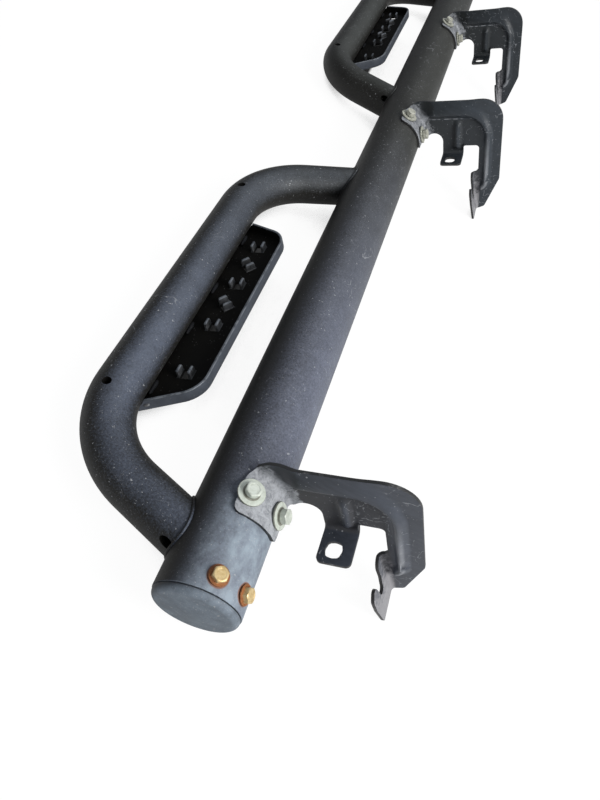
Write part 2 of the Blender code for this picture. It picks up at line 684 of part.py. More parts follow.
# ---------------------------------------------------------------- bracket
def plate_outline():
    """The stamped plate seen along the tube, without its three flanges."""
    collar = [(SADDLE_ROOT * math.sin(turn), SADDLE_ROOT * math.cos(turn)) for turn in saddle_turns()]
    tab_fold = BRACKET_FOLD_RADIUS - TAB_DROP
    fold_foot = on_foot(BRACKET_FOLD_RADIUS, 0)
    fold_head = on_foot(BRACKET_FOLD_RADIUS, FOOT_HEIGHT)
    corners = [(*collar[0], 0), SHOULDER]
    corners += [(BRACKET_REACH, BRACKET_TOP, BRACKET_CORNER_RADIUS)]
    chamfer_top, chamfer_width, chamfer_foot = BRACKET_CHAMFER
    chamfer_easing, chamfer_end = BRACKET_CHAMFER_RADII
    corners += [(BRACKET_REACH, -chamfer_top, chamfer_easing)]
    corners += [(BRACKET_REACH - chamfer_width, -chamfer_foot, chamfer_end)]
    corners += [(*fold_foot, 0), (*fold_head, 0), (LEG_EDGE, fold_head[1] + BRACKET_FOLD_RADIUS, 0)]
    at_leg, at_tab = LEG_NOTCH_RADII
    corners += [(LEG_EDGE, LEG_NOTCH_TOP, at_leg), (TAB_RIGHT, LEG_NOTCH_TOP, at_tab)]
    corners += [(TAB_RIGHT, tab_fold, 0), (TAB_LEFT, tab_fold, 0)]
    notch = (TAB_LEFT - ARM_NOTCH_RADIUS, ARM_NOTCH_TOP - ARM_NOTCH_RADIUS)
    notch_arc = arc(notch, ARM_NOTCH_RADIUS, 0, NOTCH_SWEEP, NOTCH_STEPS)
    return rounded(corners) + notch_arc + collar[:0:-1]


def saddle_turns():
    """The angles of the saddle's rows, round the tube from upright."""
    step = (SADDLE_END - SADDLE_START) / SADDLE_ROWS
    return [SADDLE_START + row * step for row in range(SADDLE_ROWS + 1)]


def on_foot(x, height):
    """A place on the leaning foot: across from its outer face, and up from its lower edge."""
    spot = Matrix.Rotation(FOOT_TILT, 2) @ Vector((x, height))
    return (spot.x + FOOT_LINE, spot.y - BRACKET_FOOT_DROP)


def saddle():
    """The collar that lies on the tube and folds up into the plate."""
    fold_centre = (SADDLE_ROOT, -BRACKET_FOLD_RADIUS)
    outer = arc(fold_centre, BRACKET_FOLD_RADIUS, 180, 90, FOLD_STEPS)
    inner = arc(fold_centre, OUTER_FOLD, 90, 180, FOLD_STEPS)
    rows = []
    for turn in saddle_turns():
        to_side = SADDLE_INSIDE * min(turn - SADDLE_START, SADDLE_END - turn)
        inset = max(SADDLE_CORNER - to_side, 0.0)
        end = SADDLE_CORNER - math.sqrt(SADDLE_CORNER ** 2 - inset ** 2) - SADDLE_LENGTH
        profile = [(SADDLE_OUTSIDE, end)] + outer + inner + [(SADDLE_INSIDE, end)]
        rows.append([(r * math.sin(turn), y, r * math.cos(turn)) for r, y in profile])
    return stacked(rows)


def tab_flange():
    """The drilled flange folded out from the foot of the tab."""
    fold_centre = (-BRACKET_FOLD_RADIUS, BRACKET_FOLD_RADIUS - TAB_DROP)
    top = -TAB_DROP
    outline = [(0, fold_centre[1])] + arc(fold_centre, BRACKET_FOLD_RADIUS, 0, -90, FOLD_STEPS)
    outline += [(-TAB_LENGTH, top), (-TAB_LENGTH, top - BRACKET_SHEET)]
    outline += arc(fold_centre, OUTER_FOLD, -90, 0, FOLD_STEPS)
    blank = prism([outline], TAB_LEFT, TAB_RIGHT, "YZ")
    plan = [(TAB_LEFT, -TAB_LENGTH, TAB_CORNER_RADIUS), (TAB_RIGHT, -TAB_LENGTH, TAB_CORNER_RADIUS)]
    plan += [(TAB_RIGHT, OUTER_FOLD, 0), (TAB_LEFT, OUTER_FOLD, 0)]
    low = top - 2 * BRACKET_SHEET
    high = top + 2 * BRACKET_FOLD_RADIUS
    keep = prism([rounded(plan)], low, high, "XY")
    x, y = TAB_LEFT + TAB_HOLE_CENTRE[0], -TAB_HOLE_CENTRE[1]
    wide, long = TAB_HOLE[0] / 2, TAB_HOLE[1] / 2
    corners = [(x - wide, y - long), (x + wide, y - long), (x + wide, y + long), (x - wide, y + long)]
    hole = prism([rounded([(*point, TAB_HOLE_CORNER) for point in corners])], low, high, "XY")
    return shape(blank, cut=[hole], kept=[keep])


def foot_flange():
    """The flange folded out from the leg, cut to a hook with an open slot.

    It stands upright on zero, with its outer face at zero, until it is tilted into place.
    """
    fold_centre = (BRACKET_FOLD_RADIUS, -BRACKET_FOLD_RADIUS)
    behind = BRACKET_FOLD_RADIUS + LAP
    outline = [(behind, 0)] + arc(fold_centre, BRACKET_FOLD_RADIUS, 90, 180, FOLD_STEPS)
    outline += [(0, -HOOK_REACH), (-BRACKET_SHEET, -HOOK_REACH)]
    outline += arc(fold_centre, OUTER_FOLD, 180, 90, FOLD_STEPS) + [(behind, BRACKET_SHEET)]
    blank = prism([outline], 0, FOOT_HEIGHT, "XY")
    slot = arc(HOOK_SLOT_CENTRE, HOOK_SLOT_RADIUS, 0, -180, HOOK_SLOT_STEPS)
    reach, upper, lower = HOOK_LOBE
    upper_radius, lower_radius = HOOK_LOBE_RADII
    lobe = [(OUTER_FOLD, 0, 0), (OUTER_FOLD, FOOT_HEIGHT, 0)]
    lobe += [(-reach, upper, upper_radius), (-reach, lower, lower_radius), (*slot[0], 0)]
    finger = [(*slot[-1], 0), *HOOK_FINGER, (OUTER_FOLD, 0, 0)]
    plan = rounded(lobe)[:-1] + slot + rounded(finger)[1:-1]
    flange = shape(blank, kept=[prism([plan], -OUTER_FOLD, 2 * OUTER_FOLD, "YZ")])
    tilt = Matrix.Rotation(-FOOT_TILT, 4, "Y")
    flange.transform(Matrix.Translation((FOOT_LINE, 0, -BRACKET_FOOT_DROP)) @ tilt)
    return flange


def rib(points, half_width, height, face):
    """A pressed rib: a flattened round bar, rounded at its ends, on a face of the plate."""
    start, end = Vector(points[0]), Vector(points[-1])
    ahead = (Vector(points[1]) - start).normalized() * half_width
    behind = (Vector(points[-2]) - end).normalized() * half_width
    path = [start + ahead * (1 - step) for step, _ in RIB_NOSE] + [start + ahead]
    path += [Vector(point) for point in points[1:-1]]
    path += [end + behind] + [end + behind * (1 - step) for step, _ in reversed(RIB_NOSE)]
    widths = [width for _, width in RIB_NOSE]
    scales = widths + [1.0] * len(points) + widths[::-1]
    mesh = sweep([(point.x, 0, point.y) for point in path], half_width, RIB_SIDES, scales)
    flatten = Matrix.Scale(height / half_width, 4, (0, 1, 0))
    mesh.transform(Matrix.Translation((0, face, 0)) @ flatten)
    return mesh


def bracket():
    """A bracket stamped from one sheet: plate, saddle, drilled tab and hooked foot."""
    plate = prism([plate_outline()], 0, BRACKET_SHEET)
    bend_centre = (RIB_LEG - RIB_BEND, RIB_LEVEL - RIB_BEND)
    bend = arc(bend_centre, RIB_BEND, 90, 0, RIB_BEND_STEPS)
    long_rib = [(SADDLE_ROOT, RIB_LEVEL)] + bend + [(RIB_LEG, RIB_FOOT)]
    web_rib = [(WEB_RIB_LINE, RIB_LEVEL), (WEB_RIB_LINE, WEB_RIB_FOOT)]
    ribs = []
    grooves = []
    for line, half_width, height in (
        (long_rib, RIB_HALF_WIDTH, RIB_HEIGHT),
        (web_rib, WEB_RIB_HALF_WIDTH, WEB_RIB_HEIGHT),
    ):
        ribs.append(rib(line, half_width, height, RIB_BITE))
        grooves.append(rib(line, half_width * GROOVE_SCALE, height, BRACKET_SHEET + RIB_BITE))
    wall = (SADDLE_INSIDE - BRACKET_SHEET, SADDLE_OUTSIDE + BRACKET_SHEET)
    holes = radial_holes(BRACKET_BOLT_ANGLES, -BRACKET_BOLT_INSET, *wall)
    return shape(plate, joined=[saddle(), tab_flange(), foot_flange()] + ribs, cut=grooves + holes)


# ---------------------------------------------------------------- assembly
def lying_turn():
    """The turn that puts the tread heels and the bracket feet on level ground."""
    heel = Vector((PAN_TURN - TREAD_HEEL, PAN_TURN + TREAD_OUTSIDE))
    pan = Matrix.Rotation(TREAD_CLOCK, 2) @ heel
    hoop_centre = Matrix.Rotation(HOOP_DROOP, 2) @ Vector((-HOOP_REACH, 0))
    foot = Matrix.Rotation(BRACKET_CLOCK, 2) @ Vector(on_foot(-BRACKET_SHEET, 0))
    line = foot - (pan + hoop_centre)
    return -math.atan2(line.y, line.x)


def settle(root):
    """Bring the middle of the footprint to the origin."""
    corners = []
    for part in PARTS.objects:
        if part.type == "MESH":
            frame = evaluated(part).matrix_world
            corners += [frame @ vertex.co for vertex in evaluated(part).data.vertices]
    xs = [corner.x for corner in corners]
    ys = [corner.y for corner in corners]
    lowest = min(corner.z for corner in corners)
    root.location = (-(min(xs) + max(xs)) / 2, -(min(ys) + max(ys)) / 2, -lowest)


def build_board():
    """Model every piece and assemble the board."""
    coat = new_material("powder_coat")
    satin = new_material("bracket_coat")
    pan_coat = new_material("pan_coat")
    zinc = new_material("zinc")
    yellow_zinc = new_material("yellow_zinc")
    steel = new_material("plain_steel")
    cap_coat = new_material("cap_coat")

    root = new_empty("running_board", turn=lying_turn())
    place("main_tube", main_tube(), root, coat)
    build_ends(root, cap_coat, yellow_zinc, steel)
    build_hoops(root, coat, pan_coat)
    build_brackets(root, satin, zinc, steel)
    settle(root)


def build_ends(root, cap_coat, yellow_zinc, steel):
    """Put a cap, its two bolts and their nuts in each end of the tube."""
    front_cap = end_cap()
    rear_cap = mirrored(front_cap)
    bolt = hex_bolt(CAP_BOLT_FLATS, CAP_BOLT_HEAD_HEIGHT, CAP_BOLT_FLANGE_RADIUS)
    nut = weld_nut()
    seat = TUBE_RADIUS + SEAT_GAP
    inside = nut_seat(CAP_SKIRT_RADIUS - CAP_WALL)
    for end, cap, place_along in (("front", front_cap, 0.0), ("rear", rear_cap, TUBE_LENGTH)):
        y = along(abs(place_along - CAP_BOLT_INSET))
        place(f"{end}_end_cap", cap, root, cap_coat, (0, along(place_along), 0))
        outer = [(angle, y, seat) for angle in CAP_BOLT_ANGLES]
        inner = [(angle, y, inside) for angle in CAP_BOLT_ANGLES]
        place_round(f"{end}_cap_bolt", bolt, root, yellow_zinc, outer)
        place_round(f"{end}_cap_nut", nut, root, steel, inner)


def mirrored(mesh):
    """A copy of a mesh that faces the other way along the tube."""
    return weld(moved(mesh, Matrix.Scale(-1, 4, (0, 1, 0))))


def build_hoops(root, coat, pan_coat):
    """Weld two hoops to the tube and a tread pan to each hoop."""
    hoop_mesh, bead = hoop(), hoop_weld()
    beads = (bead, mirrored(bead))
    pan, stitch = tread_pan(), tread_weld()
    middle = HOOP_INSET + HOOP_SPAN / 2
    for end, place_along in (("front", middle), ("rear", TUBE_LENGTH - middle)):
        frame = new_empty(f"{end}_hoop_frame", root, (0, along(place_along), 0), HOOP_DROOP)
        place(f"{end}_hoop", hoop_mesh, frame, coat)
        for number, mesh in enumerate(beads, start=1):
            place(f"{end}_hoop_weld_{number}", mesh, frame, coat)
        tilt = TREAD_CLOCK - HOOP_DROOP
        step_frame = new_empty(f"{end}_tread_frame", frame, (-HOOP_REACH, 0, 0), tilt)
        place(f"{end}_tread", pan, step_frame, pan_coat)
        for number, spot in enumerate(TREAD_WELD_PLACES, start=1):
            place(f"{end}_tread_weld_{number}", stitch, step_frame, coat, (0, spot, 0))


def build_brackets(root, satin, zinc, steel):
    """Bolt the three brackets round the tube."""
    sheet = bracket()
    bolt = hex_bolt(BOLT_HEAD_FLATS, BOLT_HEAD_HEIGHT, BOLT_HEAD_FLATS / 2)
    ring = washer()
    nut = weld_nut()
    washer_seat = SADDLE_OUTSIDE + SEAT_GAP
    bolt_seat = washer_seat + WASHER_THICKNESS + SEAT_GAP
    for name, place_along in BRACKET_PLACES.items():
        frame = new_empty(f"{name}_bracket_frame", root, (0, along(place_along), 0), BRACKET_CLOCK)
        place(f"{name}_bracket", sheet, frame, satin)
        for piece, mesh, material, radius in (
            ("bolt", bolt, zinc, bolt_seat),
            ("washer", ring, zinc, washer_seat),
            ("nut", nut, steel, nut_seat(TUBE_BORE)),
        ):
            spots = [(angle, -BRACKET_BOLT_INSET, radius) for angle in BRACKET_BOLT_ANGLES]
            place_round(f"{name}_bracket_{piece}", mesh, frame, material, spots)


clear_scene()
PARTS = new_collection("running_board")
TOOLS = new_collection("cutters")
build_board()
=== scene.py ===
"""Looks of a hoop-step running board that lies on its tread side with its underside up.

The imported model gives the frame. Every metal piece that shows is built again here as a fine
surface at the same sizes, and each gets a procedural finish. Lengths are in metres.
"""

import logging
import math
from dataclasses import dataclass, field
from enum import Enum
from functools import cached_property, partialmethod
from typing import Sequence

import bmesh
import bpy
import numpy as np
from mathutils import Matrix, Vector


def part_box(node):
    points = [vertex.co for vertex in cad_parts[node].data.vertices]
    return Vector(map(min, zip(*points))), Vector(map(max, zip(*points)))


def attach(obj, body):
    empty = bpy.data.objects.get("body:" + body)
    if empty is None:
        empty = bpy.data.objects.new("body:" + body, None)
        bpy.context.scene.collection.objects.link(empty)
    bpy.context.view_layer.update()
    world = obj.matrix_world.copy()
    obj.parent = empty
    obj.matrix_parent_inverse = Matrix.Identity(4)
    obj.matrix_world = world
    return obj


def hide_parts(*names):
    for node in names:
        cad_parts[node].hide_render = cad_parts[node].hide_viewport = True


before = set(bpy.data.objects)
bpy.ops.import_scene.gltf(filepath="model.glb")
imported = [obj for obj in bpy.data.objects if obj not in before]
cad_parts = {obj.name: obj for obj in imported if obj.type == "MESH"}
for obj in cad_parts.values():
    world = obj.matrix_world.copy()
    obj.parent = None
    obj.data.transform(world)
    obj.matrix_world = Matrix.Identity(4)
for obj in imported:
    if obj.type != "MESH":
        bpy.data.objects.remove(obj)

LOG = logging.getLogger("running_board")
Mesh, Material = bpy.types.Mesh, bpy.types.Material
Points = np.ndarray
Numbers = float | np.ndarray
Colour = tuple[float, float, float]
Spot = tuple[float, float, float]

SEAT_GAP = 0.0003
TUBE_RADIUS = 0.0381
TUBE_WALL = 0.0025
BRACKET_CLOCK = math.radians(25.8)
TREAD_CLOCK = math.radians(25.8)
HOOP_DROOP = math.radians(7.9)
FULL_TURN = 2 * math.pi
MOST_FINISHES = 4
MERGE_DISTANCE = 2e-6
LEAST_EDGE = 1e-7


class End(Enum):
    """The two ends of the board; the value is the sign of Y there."""

    FRONT = -1
    REAR = 1

    @property
    def label(self) -> str:
        """The end's word in the node names."""
        return self.name.lower()


# ---------------------------------------------------------------- frames and grids
@dataclass(frozen=True)
class Place:
    """A frame turned about Y, from +X towards +Z, that carries local points into the board's frame."""

    origin: Spot
    turn: float = 0.0

    def carry(self, points: Points) -> Points:
        """Carry local points into the board's frame: a turn about Y, then a shift.

        Args:
            points: places in this frame.

        Returns:
            The same places in the board's frame: (x cos t - z sin t, y, x sin t + z cos t) + origin.
        """
        cosine, sine = math.cos(self.turn), math.sin(self.turn)
        x, y, z = points[..., 0], points[..., 1], points[..., 2]
        return points_of(x * cosine - z * sine, y, x * sine + z * cosine) + np.asarray(self.origin)

    def inside(self, origin: Sequence[float], turn: float) -> "Place":
        """A frame placed and turned within this one."""
        return Place(tuple(self.carry(np.asarray(origin, float))), self.turn + turn)


ORIGIN = Place((0.0, 0.0, 0.0))


def points_of(*axes: Numbers) -> Points:
    """Join coordinates, each a number or an array, into points."""
    return np.stack(np.broadcast_arrays(*axes), -1)


def raised(flat: Points, level: Numbers) -> Points:
    """Lift flat (x, y) points to a level."""
    return points_of(flat[..., 0], flat[..., 1], level)


def unit(vectors: Points) -> Points:
    """Vectors over their own lengths."""
    return vectors / np.linalg.norm(vectors, axis=-1, keepdims=True)


def round_turn(count: int) -> Points:
    """Equal steps of angle round a full turn, which leave out the last."""
    return np.linspace(0, FULL_TURN, count, endpoint=False)


def doubled(half: Points) -> Points:
    """Join a half that ends on Y = 0 to its mirror image across Y."""
    return np.concatenate([half, (half * (1, -1, 1))[-2::-1]])


def arc(centre: Sequence[float], radius: float, start: float, end: float, count: int) -> Points:
    """Points along an arc; angles in degrees from the first axis towards the second."""
    angles = np.radians(np.linspace(start, end, count))
    return points_of(centre[0] + radius * np.cos(angles), centre[1] + radius * np.sin(angles))


def spans(path: Points) -> Points:
    """Distance along a path to each of its points, from zero."""
    steps = np.linalg.norm(np.diff(path, axis=0), axis=1)
    return np.concatenate([[0.0], np.cumsum(steps)])


def sampled(path: Points, places: Points) -> Points:
    """Read a path at given distances from its start, on the straight lines between its points."""
    along = spans(path)
    return points_of(*(np.interp(places, along, values) for values in path.T))


def evenly(path: Points, count: int) -> Points:
    """Read a path at equal distances from end to end."""
    return sampled(path, np.linspace(0.0, spans(path)[-1], count))


def rounded(corners: Sequence[Sequence[float]], steps: int, closed: bool = False) -> Points:
    """Round the corners of an outline.

    Args:
        corners: (x, y, radius) of each corner; a radius of zero keeps it sharp.
        steps: points on each rounded corner, less one.
        closed: whether the last corner joins the first.

    Returns:
        The outline's points. A corner becomes an arc that touches both of its sides: its centre
        lies on the line that halves the corner, at the radius over the sine of half the corner.
    """
    pieces = []
    for index, (x, y, radius) in enumerate(corners):
        corner = np.array([x, y])
        at_end = not closed and index in (0, len(corners) - 1)
        if radius == 0 or at_end:
            pieces.append(corner[None])
            continue
        back = unit(np.array(corners[index - 1][:2]) - corner)
        ahead = unit(np.array(corners[(index + 1) % len(corners)][:2]) - corner)
        half = math.acos(float(np.clip(back @ ahead, -1, 1))) / 2
        middle = corner + unit(back + ahead) * radius / math.sin(half)
        first = corner + back * radius / math.tan(half) - middle
        final = corner + ahead * radius / math.tan(half) - middle
        turn = math.atan2(first[0] * final[1] - first[1] * final[0], float(first @ final))
        angles = math.atan2(first[1], first[0]) + np.linspace(0, turn, steps + 1)
        pieces.append(middle + radius * points_of(np.cos(angles), np.sin(angles)))
    return np.concatenate(pieces)


def oblong(half_x: float, half_y: float, radius: float, steps: int) -> Points:
    """The outline of a rectangle about the origin, with rounded corners."""
    ways = ((-1, -1), (1, -1), (1, 1), (-1, 1))
    return rounded([(x * half_x, y * half_y, radius) for x, y in ways], steps, True)


def smooth(values: Points, low: Numbers, high: Numbers) -> Points:
    """Rise from 0 at low to 1 at high along the curve 3t^2 - 2t^3."""
    share = np.clip((values - low) / (high - low), 0.0, 1.0)
    return share * share * (3 - 2 * share)


def swell(share: Points, power: float) -> Points:
    """Thickness of a bead from end to end, at shares of -1 to 1: the root of 1 - |share|^power."""
    return np.sqrt(np.clip(1 - np.abs(share) ** power, 0, 1))


def revolved(profile: Points, sides: int) -> Points:
    """Turn a profile of (radius, y) about the Y axis.

    Args:
        profile: the points to turn.
        sides: steps round the axis.

    Returns:
        A grid with a row for each step. A point at angle a lies at (radius sin a, y, radius cos a).
    """
    angles = round_turn(sides)[:, None]
    radius, y = profile[None, :, 0], profile[None, :, 1]
    return points_of(radius * np.sin(angles), y, radius * np.cos(angles))


def circled(path: Points, first: Points, second: Points, radius: Numbers, sides: int) -> Points:
    """Put a circle round each point of a path.

    Args:
        path: centres of the circles.
        first: direction of each circle's first axis.
        second: direction of its second axis.
        radius: radius of all circles, or of each.
        sides: points round each circle.

    Returns:
        A grid of rings: centre + radius (cos a first + sin a second).
    """
    angles = round_turn(sides)[None, :, None]
    ring = np.cos(angles) * first[:, None] + np.sin(angles) * second[:, None]
    return path[:, None] + np.broadcast_to(radius, len(path))[:, None, None] * ring


def swept(path: Points, radius: Numbers, sides: int, up: Sequence[float] = (0, 0, 1)) -> Points:
    """Carry a circle along a path, square to it.

    Args:
        path: centreline points.
        radius: radius at all points, or at each.
        sides: points round each ring.
        up: direction that the rings' second axis leans to.

    Returns:
        A grid of rings. The second axis is the part of the up direction that is square to the
        path, and the first is square to both.
    """
    tangent = unit(np.gradient(path, axis=0))
    lift = np.asarray(up, float)
    second = unit(lift - (tangent @ lift)[:, None] * tangent)
    return circled(path, np.cross(second, tangent), second, radius, sides)


# ---------------------------------------------------------------- meshes
class Skin:
    """A mesh in the making, gathered from grids and flat faces."""

    def __init__(self) -> None:
        """Start with nothing."""
        self.points: list[Points] = []
        self.faces: list[list[int]] = []
        self.finishes: list[int] = []
        self.count = 0

    def grid(self, grid: Points, wrap_rows: bool = False, wrap_columns: bool = False,
             finish: int | Points = 0) -> "Skin":
        """Add a grid of points as four-sided faces.

        Args:
            grid: points as rows by columns by three.
            wrap_rows: whether the last row joins the first.
            wrap_columns: whether the last column joins the first.
            finish: material number of the faces, or one number for each column of faces.

        Returns:
            The skin itself.
        """
        rows, columns = grid.shape[:2]
        index = np.arange(rows * columns).reshape(rows, columns) + self.count
        if wrap_rows:
            index = np.concatenate([index, index[:1]], axis=0)
        if wrap_columns:
            index = np.concatenate([index, index[:, :1]], axis=1)
        quads = np.stack([index[:-1, :-1], index[1:, :-1], index[1:, 1:], index[:-1, 1:]], -1)
        numbers = np.broadcast_to(np.asarray(finish), quads.shape[:2])
        self.faces += quads.reshape(-1, 4).tolist()
        self.finishes += numbers.reshape(-1).tolist()
        self.points.append(grid.reshape(-1, 3))
        self.count += rows * columns
        return self

    def flat(self, loop: Points, finish: int = 0) -> "Skin":
        """Add one flat face.

        Args:
            loop: its corners in order, any number of them.
            finish: its material number.

        Returns:
            The skin itself.
        """
        self.points.append(loop)
        self.faces.append(list(range(self.count, self.count + len(loop))))
        self.finishes.append(finish)
        self.count += len(loop)
        return self

    def closed(self, rings: Points, finish: int = 0) -> "Skin":
        """Add a run of rings with a flat face on each end."""
        return self.grid(rings, False, True, finish).flat(rings[0], finish).flat(rings[-1], finish)

    def mesh(self, name: str) -> Mesh:
        """Merge what meets and face it outwards.

        Args:
            name: the mesh's name.

        Returns:
            The mesh, with empty material slots that show() fills.
        """
        mesh = bpy.data.meshes.new(name)
        mesh.from_pydata(np.concatenate(self.points).tolist(), [], self.faces)
        mesh.polygons.foreach_set("material_index", np.array(self.finishes, np.int32))
        for _ in range(MOST_FINISHES):
            mesh.materials.append(None)
        work = bmesh.new()
        work.from_mesh(mesh)
        bmesh.ops.remove_doubles(work, verts=work.verts, dist=MERGE_DISTANCE)
        bmesh.ops.dissolve_degenerate(work, edges=work.edges, dist=LEAST_EDGE)
        bmesh.ops.recalc_face_normals(work, faces=work.faces)
        work.to_mesh(mesh)
        work.free()
        return mesh


def outward(mesh: Mesh, way: Sequence[float]) -> Mesh:
    """Flip an open sheet whose faces look, on the whole, against a direction.

    Args:
        mesh: the sheet.
        way: the direction that its faces should look in.

    Returns:
        The same sheet.
    """
    normals = np.zeros(len(mesh.polygons) * 3)
    areas = np.zeros(len(mesh.polygons))
    mesh.polygons.foreach_get("normal", normals)
    mesh.polygons.foreach_get("area", areas)
    if (normals.reshape(-1, 3) * areas[:, None]).sum(0) @ np.asarray(way, float) < 0:
        mesh.flip_normals()
    return mesh


def linked(name: str, data: bpy.types.ID) -> bpy.types.Object:
    """Put a mesh, lamp or camera in the scene as an object at the origin.

    Args:
        name: its name.
        data: its data.

    Returns:
        The object.
    """
    item = bpy.data.objects.new(name, data)
    bpy.context.scene.collection.objects.link(item)
    return item


def settled(item: bpy.types.Object) -> Mesh:
    """Apply an object's modifiers.

    Args:
        item: the object, which is removed.

    Returns:
        Its finished mesh.
    """
    bpy.context.view_layer.update()
    mesh = bpy.data.meshes.new_from_object(item.evaluated_get(bpy.context.evaluated_depsgraph_get()))
    bpy.data.objects.remove(item, do_unlink=True)
    return mesh


def combined(mesh: Mesh, operation: str, other: Mesh) -> Mesh:
    """Join a mesh with another, or cut it by the other.

    Args:
        mesh: the mesh to change.
        operation: UNION or DIFFERENCE.
        other: what is joined on or cut away.

    Returns:
        The changed mesh.
    """
    item, tool = linked("passing", mesh), linked("tool", other)
    change = item.modifiers.new(operation.title(), "BOOLEAN")
    change.operation = operation
    change.solver = "EXACT"
    change.object = tool
    finished = settled(item)
    bpy.data.objects.remove(tool, do_unlink=True)
    return finished


def carried(mesh: Mesh, place: Place) -> Mesh:
    """Copy a mesh from a local frame into the board's frame.

    Args:
        mesh: the mesh in its local frame.
        place: that frame.

    Returns:
        The copy.
    """
    copy = mesh.copy()
    points = np.zeros(len(copy.vertices) * 3)
    copy.vertices.foreach_get("co", points)
    copy.vertices.foreach_set("co", place.carry(points.reshape(-1, 3)).reshape(-1))
    copy.update()
    return copy


def mirrored(mesh: Mesh) -> Mesh:
    """Copy a mesh so that it faces the other way along Y, with its faces still outwards.

    Args:
        mesh: what is copied.

    Returns:
        The mirrored copy.
    """
    copy = mesh.copy()
    copy.transform(Matrix.Scale(-1, 4, (0, 1, 0)))
    copy.flip_normals()
    return copy


def stood(mesh: Mesh, angle: float, y: float, radius: float) -> Mesh:
    """Copy a mesh so that its Z axis stands out of the main tube.

    Args:
        mesh: the mesh, seated at zero.
        angle: place round the tube, from +Z towards +X.
        y: place along it.
        radius: distance from its axis.

    Returns:
        The copy.
    """
    copy = mesh.copy()
    out = Vector((math.sin(angle), 0, math.cos(angle)))
    copy.transform(Matrix.Translation(out * radius + Vector((0, y, 0))) @ Matrix.Rotation(angle, 4, "Y"))
    return copy


def show(name: str, mesh: Mesh, place: Place, finishes: Sequence[Material],
         node: str = "", sharp: float = 40.0) -> None:
    """Put a finished mesh in the scene as a piece that rides on the board.

    Args:
        name: the piece's name.
        mesh: its mesh, in a local frame.
        place: that frame.
        finishes: its materials, in the order of the mesh's material numbers.
        node: the solid that it stands for, if any.
        sharp: edges bent more than this many degrees stay sharp.
    """
    placed = carried(mesh, place)
    placed.name = name
    numbers = np.zeros(len(placed.polygons), np.int32)
    placed.polygons.foreach_get("material_index", numbers)
    placed.materials.clear()
    for finish in finishes:
        placed.materials.append(finish)
    placed.polygons.foreach_set("material_index", numbers)
    placed.shade_smooth()
    placed.set_sharp_from_angle(angle=math.radians(sharp))
    piece = linked(name, placed)
    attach(piece, "root")
    if node:
        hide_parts(node)
    LOG.info("%s: %d points, %d faces", name, len(placed.vertices), len(placed.polygons))


# ---------------------------------------------------------------- shader sums
class Wire:
    """A node's output that takes part in sums; each operator adds one Math node."""

    def __init__(self, tree: "Tree", socket: bpy.types.NodeSocket) -> None:
        """Wrap a socket of a tree."""
        self.tree = tree
        self.socket = socket

    def maths(self, operation: str, other: "Value" = 0.0, swapped: bool = False) -> "Wire":
        """Add a Math node on this and another value, which comes first where they are swapped."""
        first, second = (other, self) if swapped else (self, other)
        return self.tree.out("ShaderNodeMath", {"operation": operation}, {0: first, 1: second})

    __add__ = partialmethod(maths, "ADD")
    __radd__ = partialmethod(maths, "ADD", swapped=True)
    __sub__ = partialmethod(maths, "SUBTRACT")
    __rsub__ = partialmethod(maths, "SUBTRACT", swapped=True)
    __mul__ = partialmethod(maths, "MULTIPLY")
    __rmul__ = partialmethod(maths, "MULTIPLY", swapped=True)
    __pow__ = partialmethod(maths, "POWER")
    __abs__ = partialmethod(maths, "ABSOLUTE")
    most = partialmethod(maths, "MAXIMUM")
    least = partialmethod(maths, "MINIMUM")

    def share(self) -> "Wire":
        """This held between 0 and 1."""
        return self.most(0).least(1)

    def rise(self, low: float, high: float) -> "Wire":
        """Step softly from one level to another.

        Args:
            low: level at which the step starts, from 0; it may be the larger.
            high: level at which it reaches 1.

        Returns:
            The step's height.
        """
        settings = {"interpolation_type": "SMOOTHSTEP", "clamp": True}
        if low < high:
            return self.tree.out("ShaderNodeMapRange", settings, {0: self, 1: low, 2: high})
        return 1.0 - self.tree.out("ShaderNodeMapRange", settings, {0: self, 1: high, 2: low})


Value = Wire | float | Sequence[float]
Settings = dict[str, str | bool | int]
Sockets = dict[int | str, Value]


